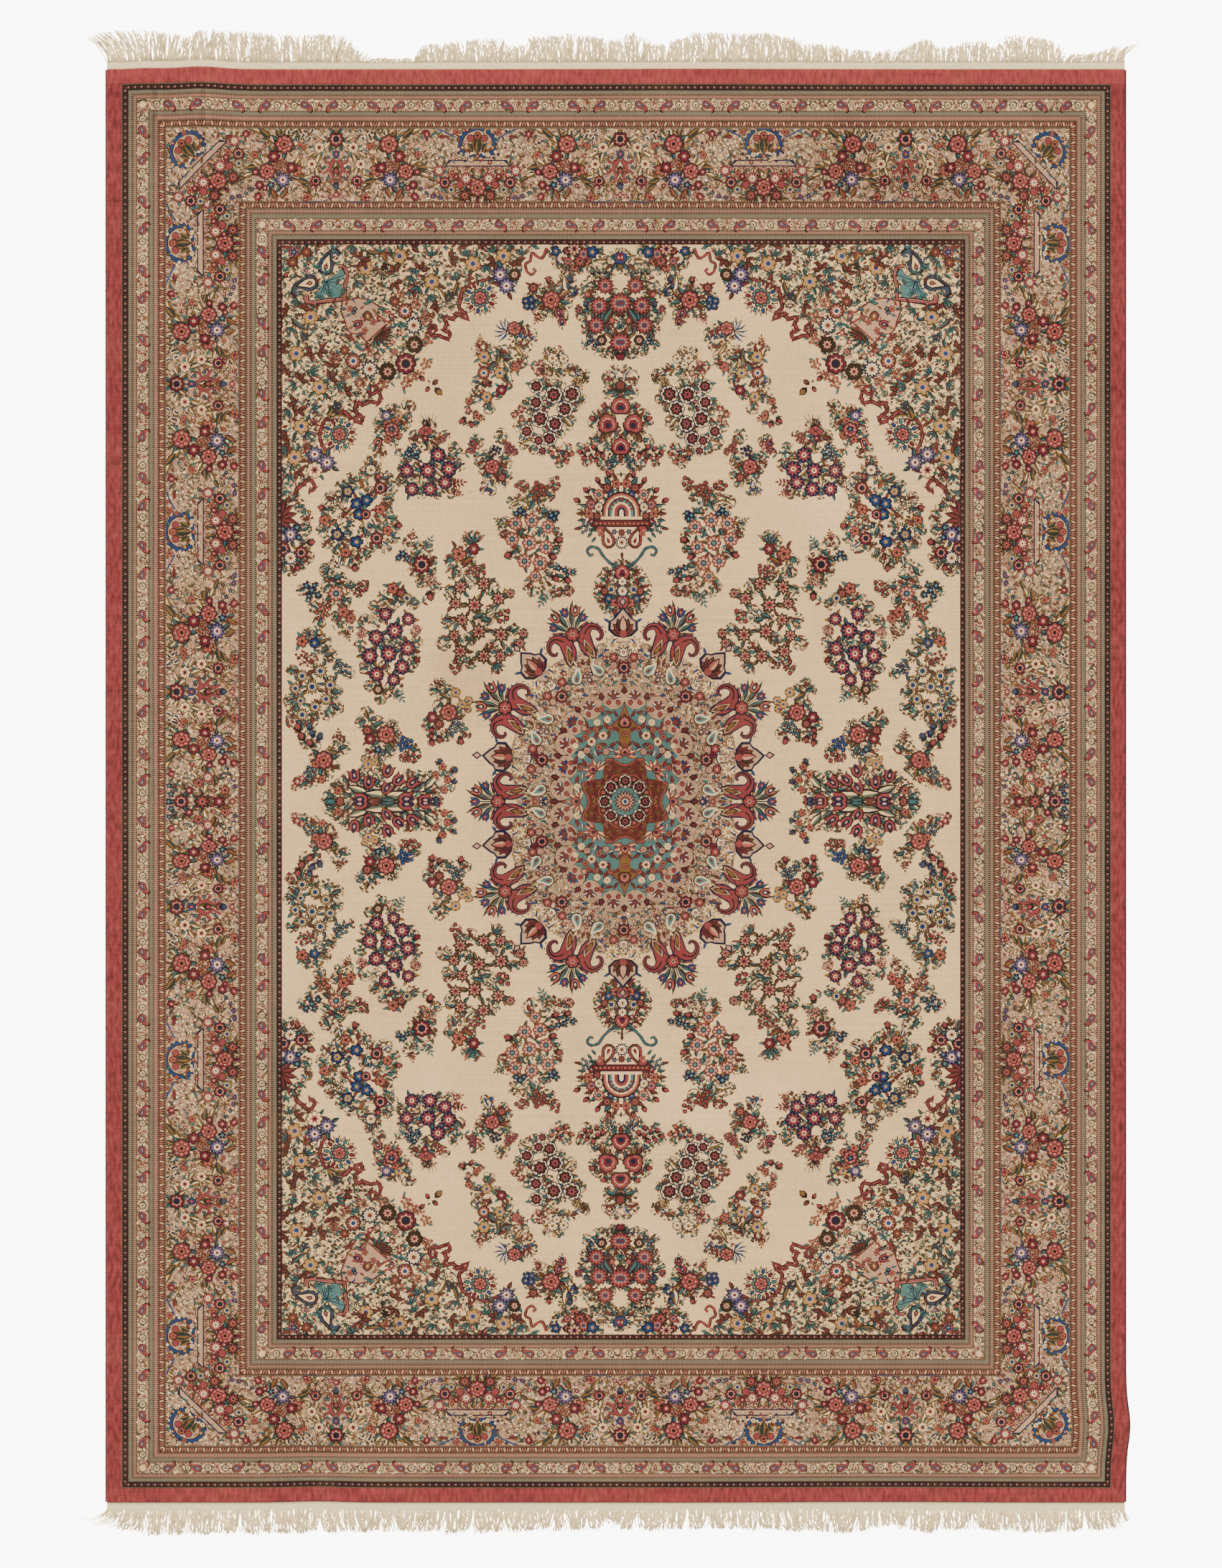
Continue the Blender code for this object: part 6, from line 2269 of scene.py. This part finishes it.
def backing_material(dye):
    """The knots' backs and the foundation's cotton, seen from below."""
    g = Graph("rug_back", 0.92, sheen=0.05, specular=0.15)
    x, y, _ = g.parts(g.place())
    rows = ridge(y / BACK_PITCH)
    cloud = g.noise(g.vector(x * 6.0, y * 6.0), 1.0, 4.0)
    # the grooves between the rows of knots are painted darker, as painted shade
    shade = 0.62 + cloud * 0.5 - rows * 0.12
    base = g.mix(cloud, steep(dye), colour(DYES["rose"]))
    base = g.shaded(base, shade)
    g.to_shader("Base Color", base)
    g.bump(1.0 - rows, 0.5, 0.0006)
    return g.material


def floor_material(shares):
    """White studio paper, lit from below."""
    g = Graph("studio_paper", 0.85, specular=0.2)
    grain = g.noise(g.place(), 240.0, 3.0)
    soft = 0.985 + (grain - 0.5) * 0.03
    g.to_shader("Base Color", g.shaded(steep(shares), soft))
    g.to_shader("Emission Color", (*shares, 1.0))
    g.shader.inputs["Emission Strength"].default_value = FLOOR_GLOW
    return g.material


# ---- the other pieces ------------------------------------------------------------------------
def grid_faces(rows, columns, closed=False):
    """Quads between neighbouring places of rows by columns; closed makes a tube with ends."""
    faces = []
    for row in range(rows - 1):
        for column in range(columns - (not closed)):
            far = (column + 1) % columns
            faces.append((row * columns + column, row * columns + far,
                          (row + 1) * columns + far, (row + 1) * columns + column))
    if closed:
        last = (rows - 1) * columns
        faces += [tuple(reversed(range(columns))), tuple(last + k for k in range(columns))]
    return faces


def bake_map(piece, places):
    """Give a piece its UV map, from a pair of shares for each vertex."""
    uv = piece.data.uv_layers.new(name="OFBake")
    for loop in piece.data.loops:
        u, v = places[loop.vertex_index]
        uv.data[loop.index].uv = (MAP_LOW + MAP_SPAN * u, MAP_LOW + MAP_SPAN * v)


def build_foundation():
    """The closed sheet of warps, wefts and knot backs under the cut pile."""
    columns, rows = 60, 84
    half_width, half_length = PILE_WIDTH / 2 - BACK_INSET, PILE_LENGTH / 2 - BACK_INSET
    x, y = np.meshgrid(np.linspace(-half_width, half_width, columns),
                       np.linspace(-half_length, half_length, rows))
    x, y = x.ravel(), y.ravel()
    laid_x, laid_y = lay(x, y)
    low = np.stack([laid_x + MIDDLE_X, laid_y + MIDDLE_Y, lift(x, y) + BACK_FOOT], axis=1)
    high = low + (0.0, 0.0, BACK_THICKNESS)
    top = grid_faces(rows, columns)
    count = rows * columns
    bottom = [tuple(count + k for k in reversed(face)) for face in top]
    rim = ([k for k in range(columns)]
           + [row * columns + columns - 1 for row in range(1, rows)]
           + [(rows - 1) * columns + k for k in range(columns - 2, -1, -1)]
           + [row * columns for row in range(rows - 2, 0, -1)])
    sides = [(count + a, count + b, b, a) for a, b in zip(rim, rim[1:] + rim[:1])]
    return make_piece("foundation", np.vstack([high, low]), top + bottom + sides, smooth=False)


def tube(name, path, radius, sides, swell_of=None):
    """A closed tube of rings along a path of places."""
    path = np.asarray(path)
    along = np.gradient(path, axis=0)
    along /= np.linalg.norm(along, axis=1, keepdims=True)
    aside = np.cross(along, (0.0, 0.0, 1.0))
    aside /= np.linalg.norm(aside, axis=1, keepdims=True)
    up = np.cross(aside, along)
    angles = np.arange(sides) * 2 * math.pi / sides
    radii = radius * (np.ones(len(path)) if swell_of is None else swell_of)
    rings = (path[:, None, :]
             + radii[:, None, None] * (np.cos(angles)[None, :, None] * aside[:, None, :]
                                       + np.sin(angles)[None, :, None] * up[:, None, :]))
    faces = grid_faces(len(path), sides, closed=True)
    piece = make_piece(name, rings.reshape(-1, 3), faces)
    shares = [(k % sides / sides, k // sides / (len(path) - 1)) for k in range(len(path) * sides)]
    bake_map(piece, shares)
    return piece


def build_selvedge(name, side, seed):
    """The overcast cord along one long side."""
    source = np.random.default_rng(seed)
    count = 480
    y = np.linspace(-PILE_LENGTH / 2, PILE_LENGTH / 2, count)
    edge_x, edge_y = lay(np.full(count, side * PILE_WIDTH / 2), y)
    z = lift(np.full(count, side * PILE_WIDTH / 2), y) + SELVEDGE_RADIUS
    path = np.stack([edge_x + side * (GAP + SELVEDGE_RADIUS) + MIDDLE_X, edge_y + MIDDLE_Y, z],
                    axis=1)
    uneven = 0.90 + 0.10 * source.random(count)
    return tube(name, path, SELVEDGE_RADIUS, 8, uneven)


def build_band(name, end):
    """The plain-woven strip at one end, in which the warps are bound off."""
    count = 320
    x = np.linspace(-PILE_WIDTH / 2, PILE_WIDTH / 2, count)
    edge_x, edge_y = lay(x, np.full(count, end * PILE_LENGTH / 2))
    source = np.random.default_rng(41 + end)
    wave = 0.0002 * source.standard_normal(count)
    places = []
    for out, height in BAND_SECTION:
        places.append(np.stack([edge_x + MIDDLE_X, edge_y + end * (BAND_GAP + out) + MIDDLE_Y,
                                np.full(count, height) + (wave + 0.0001 if height > 0.002 else 0)],
                               axis=1))
    count_out = len(BAND_SECTION)
    stacked = np.stack(places, axis=1).reshape(-1, 3)
    faces = grid_faces(count, count_out, closed=True)
    if end > 0:
        faces = [tuple(reversed(face)) for face in faces]
    piece = make_piece(name, stacked, faces, smooth=False)
    shares = [(k // count_out / (count - 1), k % count_out / (count_out - 1))
              for k in range(count * count_out)]
    bake_map(piece, shares)
    return piece


def strand_template():
    """One strand: a three-sided rod a metre long, drawn upwards ring by ring."""
    bpy.ops.object.select_all(action="DESELECT")
    bpy.ops.mesh.primitive_circle_add(vertices=3, radius=1.0, fill_type="NGON")
    rod = bpy.context.object
    bpy.ops.object.mode_set(mode="EDIT")
    bpy.ops.mesh.select_all(action="SELECT")
    for _ in range(STRAND_RINGS):
        bpy.ops.mesh.extrude_region_move(
            TRANSFORM_OT_translate={"value": (0.0, 0.0, 1.0 / STRAND_RINGS)})
    bpy.ops.mesh.select_all(action="SELECT")
    bpy.ops.mesh.normals_make_consistent(inside=False)
    bpy.ops.mesh.quads_convert_to_tris()
    bpy.ops.object.mode_set(mode="OBJECT")
    places = np.array([tuple(v.co) for v in rod.data.vertices])
    faces = np.array([tuple(p.vertices) for p in rod.data.polygons])
    bpy.data.objects.remove(rod, do_unlink=True)
    return places, faces


FULL_REACH = 0.06             # metres; the reach for which a strand's waves and plies hold
ROOT = 0.0015                 # how far a strand starts inside its band
LOCK_REACH = (-0.006, 0.002)  # how far a lock's reach and lean are from its tuft's
LOCK_LEAN = (-0.012, 0.012)
GATHER = (-0.25, 0.50)        # how far strands draw together to their lock's middle
WAVE = 0.0042                 # how far a strand wanders sideways
LOW, ARCH = 0.0012, 0.0021    # a strand's least height over the floor, and how far it arches


def build_fringe(name, end, tufts, seed, count, thickness):
    """The cut warps of one end: strands laid in tufts, crossing and tangling on the floor."""
    source = np.random.default_rng(seed)
    places, faces = strand_template()
    start_x = np.linspace(-PILE_WIDTH / 2 + 0.001, PILE_WIDTH / 2 - 0.001, count)
    start_x = start_x + source.uniform(-0.0006, 0.0006, count)
    table_x = [tuft.x for tuft in tufts]
    reach = np.interp(start_x, table_x, [tuft.reach for tuft in tufts])
    lean = np.interp(start_x, table_x, [tuft.lean for tuft in tufts])
    lock = np.floor((start_x + PILE_WIDTH / 2) / LOCK_ROOM).astype(int)
    lock_reach = source.uniform(*LOCK_REACH, lock.max() + 1)[lock]
    lock_lean = source.uniform(*LOCK_LEAN, lock.max() + 1)[lock]
    lock_middle = (lock + 0.5) * LOCK_ROOM - PILE_WIDTH / 2
    reach = np.maximum(0.010, reach + lock_reach - np.abs(source.normal(0, 0.004, count)))
    lean = lean + lock_lean + source.normal(0, 0.006, count)
    gather = source.uniform(*GATHER, count)
    wander = source.normal(0, 1.0, (3, count))
    share = places[:, 2]
    _, edge_y = lay(start_x, np.full(count, end * PILE_LENGTH / 2))
    root_y = edge_y + end * (BAND_GAP + BAND_WIDTH - ROOT)
    all_places, all_yarn = [], []
    for k in range(count):
        scale = reach[k] / FULL_REACH
        x = (start_x[k] + (lock_middle[k] - start_x[k]) * gather[k] * share ** 0.8
             + lean[k] * share ** 2
             + scale * WAVE * (wander[0, k] * np.sin(share * 4.0 + wander[2, k])
                                 - wander[0, k] * math.sin(wander[2, k])))
        y = root_y[k] + end * (reach[k] + ROOT) * (share - 0.04 * abs(wander[1, k]) * share ** 2)
        level = LOW + abs(wander[1, k]) * ARCH * np.sin(np.clip(share * 1.15, 0, 1) * math.pi)
        radius = thickness * (0.85 + 0.3 * source.random()) * (1.0 - 0.35 * share ** 4)
        side = places[:, 0] * radius
        over = places[:, 1] * radius
        spot = np.stack([x + side + MIDDLE_X, y + MIDDLE_Y,
                         np.maximum(level + over, 0.0002)], axis=1)
        all_places.append(spot)
        tone = np.full(len(share), source.random())
        all_yarn.append(np.stack([tone * (1 - 0.3 * share), share * reach[k] / FULL_REACH,
                                  places[:, 0]], axis=1))
    size = len(places)
    all_faces = (faces[None, :, :] + (np.arange(count) * size)[:, None, None]).reshape(-1, 3)
    if end > 0:
        all_faces = all_faces[:, ::-1]
    piece = make_piece(name, np.vstack(all_places), all_faces)
    yarn = piece.data.attributes.new("yarn", "FLOAT_VECTOR", "POINT")
    yarn.data.foreach_set("vector", np.vstack(all_yarn).ravel())
    return piece


# ---- operators -------------------------------------------------------------------------------
class RugSizes(bpy.types.PropertyGroup):
    """Sizes a weaver would choose."""
    strands: IntProperty(name="Fringe strands", description="Strands of yarn at each end",
                         default=1800)
    strand_radius: FloatProperty(name="Fringe yarn radius", description="Radius of a strand",
                                 default=0.0019, unit="LENGTH")
    wear: FloatProperty(name="Wear", description="How far the dyes have faded in patches",
                        default=0.12, subtype="FACTOR")
    lens: FloatProperty(name="Lens", description="Focal length of the camera", default=84.1,
                        unit="CAMERA")


class RugColours(bpy.types.PropertyGroup):
    """Colours outside the pile."""
    cord: FloatVectorProperty(name="Side cords", description="Dye of the overcast sides",
                              default=linear((130, 74, 64)), subtype="COLOR")
    band: FloatVectorProperty(name="End bands", description="Cotton of the plain woven ends",
                              default=linear((255, 238, 196)), subtype="COLOR")
    yarn: FloatVectorProperty(name="Fringe", description="Cotton of the fringe",
                              default=linear((255, 238, 198)), subtype="COLOR")
    back: FloatVectorProperty(name="Back", description="The knots' backs, seen from below",
                              default=linear((206, 178, 134)), subtype="COLOR")
    floor: FloatVectorProperty(name="Floor", description="Studio floor",
                               default=linear((250, 250, 250)), subtype="COLOR")


def finish_piece(piece, material):
    """Give a piece its material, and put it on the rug's body."""
    piece.data.materials.append(material)
    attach(piece, "root")


class WeavePile(bpy.types.Operator):
    """Weave the cut pile from its cartoon, in tiles"""
    bl_idname = "rug.weave_pile"
    bl_label = "Weave pile"

    def execute(self, context):
        cartoon = draw_cartoon()
        vertices, triangles, middles, dyes = inlay(cartoon)
        print("pile:", len(cartoon.shapes), "shapes,", len(triangles), "triangles a quarter")
        wool = pile_material(context.scene.rug_sizes.wear)
        far = middles > (HALF_WIDTH / 2, HALF_LENGTH / 2)
        for side, side_name in ((-1, "left"), (1, "right")):
            for end, end_name in ((1, "top"), (-1, "bottom")):
                for number in range(4):
                    chosen = (far[:, 0] == bool(number & 1)) & (far[:, 1] == bool(number & 2))
                    name = f"pile_{end_name}_{side_name}_{number + 1}"
                    tile = lay_tile(name, side, end, vertices, triangles[chosen], dyes[chosen])
                    finish_piece(tile, wool)
        return {"FINISHED"}


class LayFoundation(bpy.types.Operator):
    """Lay the closed foundation sheet under the pile"""
    bl_idname = "rug.lay_foundation"
    bl_label = "Lay foundation"

    def execute(self, context):
        back = build_foundation()
        finish_piece(back, backing_material(context.scene.rug_colours.back))
        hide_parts("rug_pile")
        return {"FINISHED"}


class BindSides(bpy.types.Operator):
    """Bind the overcast cords along both long sides"""
    bl_idname = "rug.bind_sides"
    bl_label = "Bind sides"

    def execute(self, context):
        material = cord_material(context.scene.rug_colours.cord)
        for number, (side, name) in enumerate(((-1, "left"), (1, "right"))):
            cord = build_selvedge(f"overcast_{name}", side, 51 + number)
            finish_piece(cord, material)
            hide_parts(f"selvedge_{name}")
        return {"FINISHED"}


class WeaveEnds(bpy.types.Operator):
    """Weave the plain bands and draw out the fringe at both ends"""
    bl_idname = "rug.weave_ends"
    bl_label = "Weave ends"

    def execute(self, context):
        sizes, colours = context.scene.rug_sizes, context.scene.rug_colours
        woven_cotton, plied = band_material(colours.band), yarn_material(colours.yarn)
        for end, name, tufts, seed in ((1, "top", TOP_FRINGE, 71), (-1, "bottom", BOTTOM_FRINGE, 83)):
            band = build_band(f"end_band_{name}", end)
            finish_piece(band, woven_cotton)
            yarn = build_fringe(f"fringe_yarn_{name}", end, tufts, seed, sizes.strands,
                                sizes.strand_radius)
            finish_piece(yarn, plied)
            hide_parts(f"fringe_{name}")
            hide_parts(f"fringe_{name}")
        return {"FINISHED"}


class DeclareCloth(bpy.types.Operator):
    """Find the foundation and the rug's other pieces; nothing more is done with them"""
    bl_idname = "rug.declare_cloth"
    bl_label = "Declare cloth"

    def execute(self, context):
        back = bpy.data.objects["foundation"]
        parts = [o for o in context.scene.objects if o.type == "MESH" and o != back
                 and o.name.startswith(("pile_", "overcast_", "end_band_", "fringe_yarn_"))]
        return {"FINISHED"}


FLOOR_SIZE, FLOOR_LEVEL = 40.0, -0.0004
SKY_COLOUR, SKY_STRENGTH = (1.0, 0.96, 0.91, 1.0), 1.12
SUN_PLACE, SUN_TURN = (-3.0, 3.0, 5.0), (math.radians(-38.0), math.radians(-30.0), 0.0)
SUN_COLOUR, SUN_ENERGY, SUN_ANGLE = (1.0, 0.945, 0.875), 4.4, math.radians(40.0)
CAMERA_PLACE = (MIDDLE_X - 0.012, MIDDLE_Y + 0.0046, 9.0)
FILM_HEIGHT = 36.0            # millimetres


class SetStage(bpy.types.Operator):
    """Lay the studio floor, hang the lights and place the camera"""
    bl_idname = "rug.set_stage"
    bl_label = "Set stage"

    def execute(self, context):
        scene = context.scene
        bpy.ops.object.select_all(action="DESELECT")
        bpy.ops.mesh.primitive_plane_add(size=FLOOR_SIZE, location=(0.0, 0.0, FLOOR_LEVEL))
        floor = context.object
        floor.name = "studio_floor"
        bpy.ops.object.transform_apply(location=True, rotation=False, scale=False)
        floor.data.materials.append(floor_material(scene.rug_colours.floor))
        world = bpy.data.worlds.new("studio")
        world.use_nodes = True
        sky = world.node_tree.nodes["Background"]
        sky.inputs["Color"].default_value = SKY_COLOUR
        sky.inputs["Strength"].default_value = SKY_STRENGTH
        scene.world = world
        bpy.ops.object.light_add(type="SUN", location=SUN_PLACE)
        sun = context.object
        sun.data.energy = SUN_ENERGY
        sun.data.color = SUN_COLOUR
        sun.data.angle = SUN_ANGLE
        sun.rotation_euler = SUN_TURN
        bpy.ops.object.camera_add(location=CAMERA_PLACE)
        camera = context.object
        camera.rotation_euler = (0.0, 0.0, 0.0)
        camera.data.sensor_fit = "VERTICAL"
        camera.data.sensor_height = FILM_HEIGHT
        camera.data.lens = scene.rug_sizes.lens
        camera.data.clip_end = 100.0
        scene.camera = camera
        return {"FINISHED"}


class RugPanel(bpy.types.Panel):
    """The steps of making the rug"""
    bl_idname = "VIEW3D_PT_rug"
    bl_label = "Medallion rug"
    bl_space_type = "VIEW_3D"
    bl_region_type = "UI"
    bl_category = "Rug"

    def draw(self, context):
        layout = self.layout
        for group in (context.scene.rug_sizes, context.scene.rug_colours):
            for name in group.__annotations__:
                layout.prop(group, name)
        for step in STEPS:
            layout.operator(step.bl_idname)


STEPS = (LayFoundation, WeavePile, BindSides, WeaveEnds, DeclareCloth, SetStage)
CLASSES = (RugSizes, RugColours, *STEPS, RugPanel)


def register():
    for cls in CLASSES:
        bpy.utils.register_class(cls)
    bpy.types.Scene.rug_sizes = PointerProperty(type=RugSizes)
    bpy.types.Scene.rug_colours = PointerProperty(type=RugColours)


def unregister():
    del bpy.types.Scene.rug_sizes
    del bpy.types.Scene.rug_colours
    for cls in reversed(CLASSES):
        bpy.utils.unregister_class(cls)


def main():
    register()
    bpy.ops.object.select_all(action="DESELECT")
    bpy.ops.rug.lay_foundation()
    bpy.ops.rug.weave_pile()
    bpy.ops.rug.bind_sides()
    bpy.ops.rug.weave_ends()
    bpy.ops.rug.declare_cloth()
    bpy.ops.rug.set_stage()


if __name__ == "__main__":
    main()
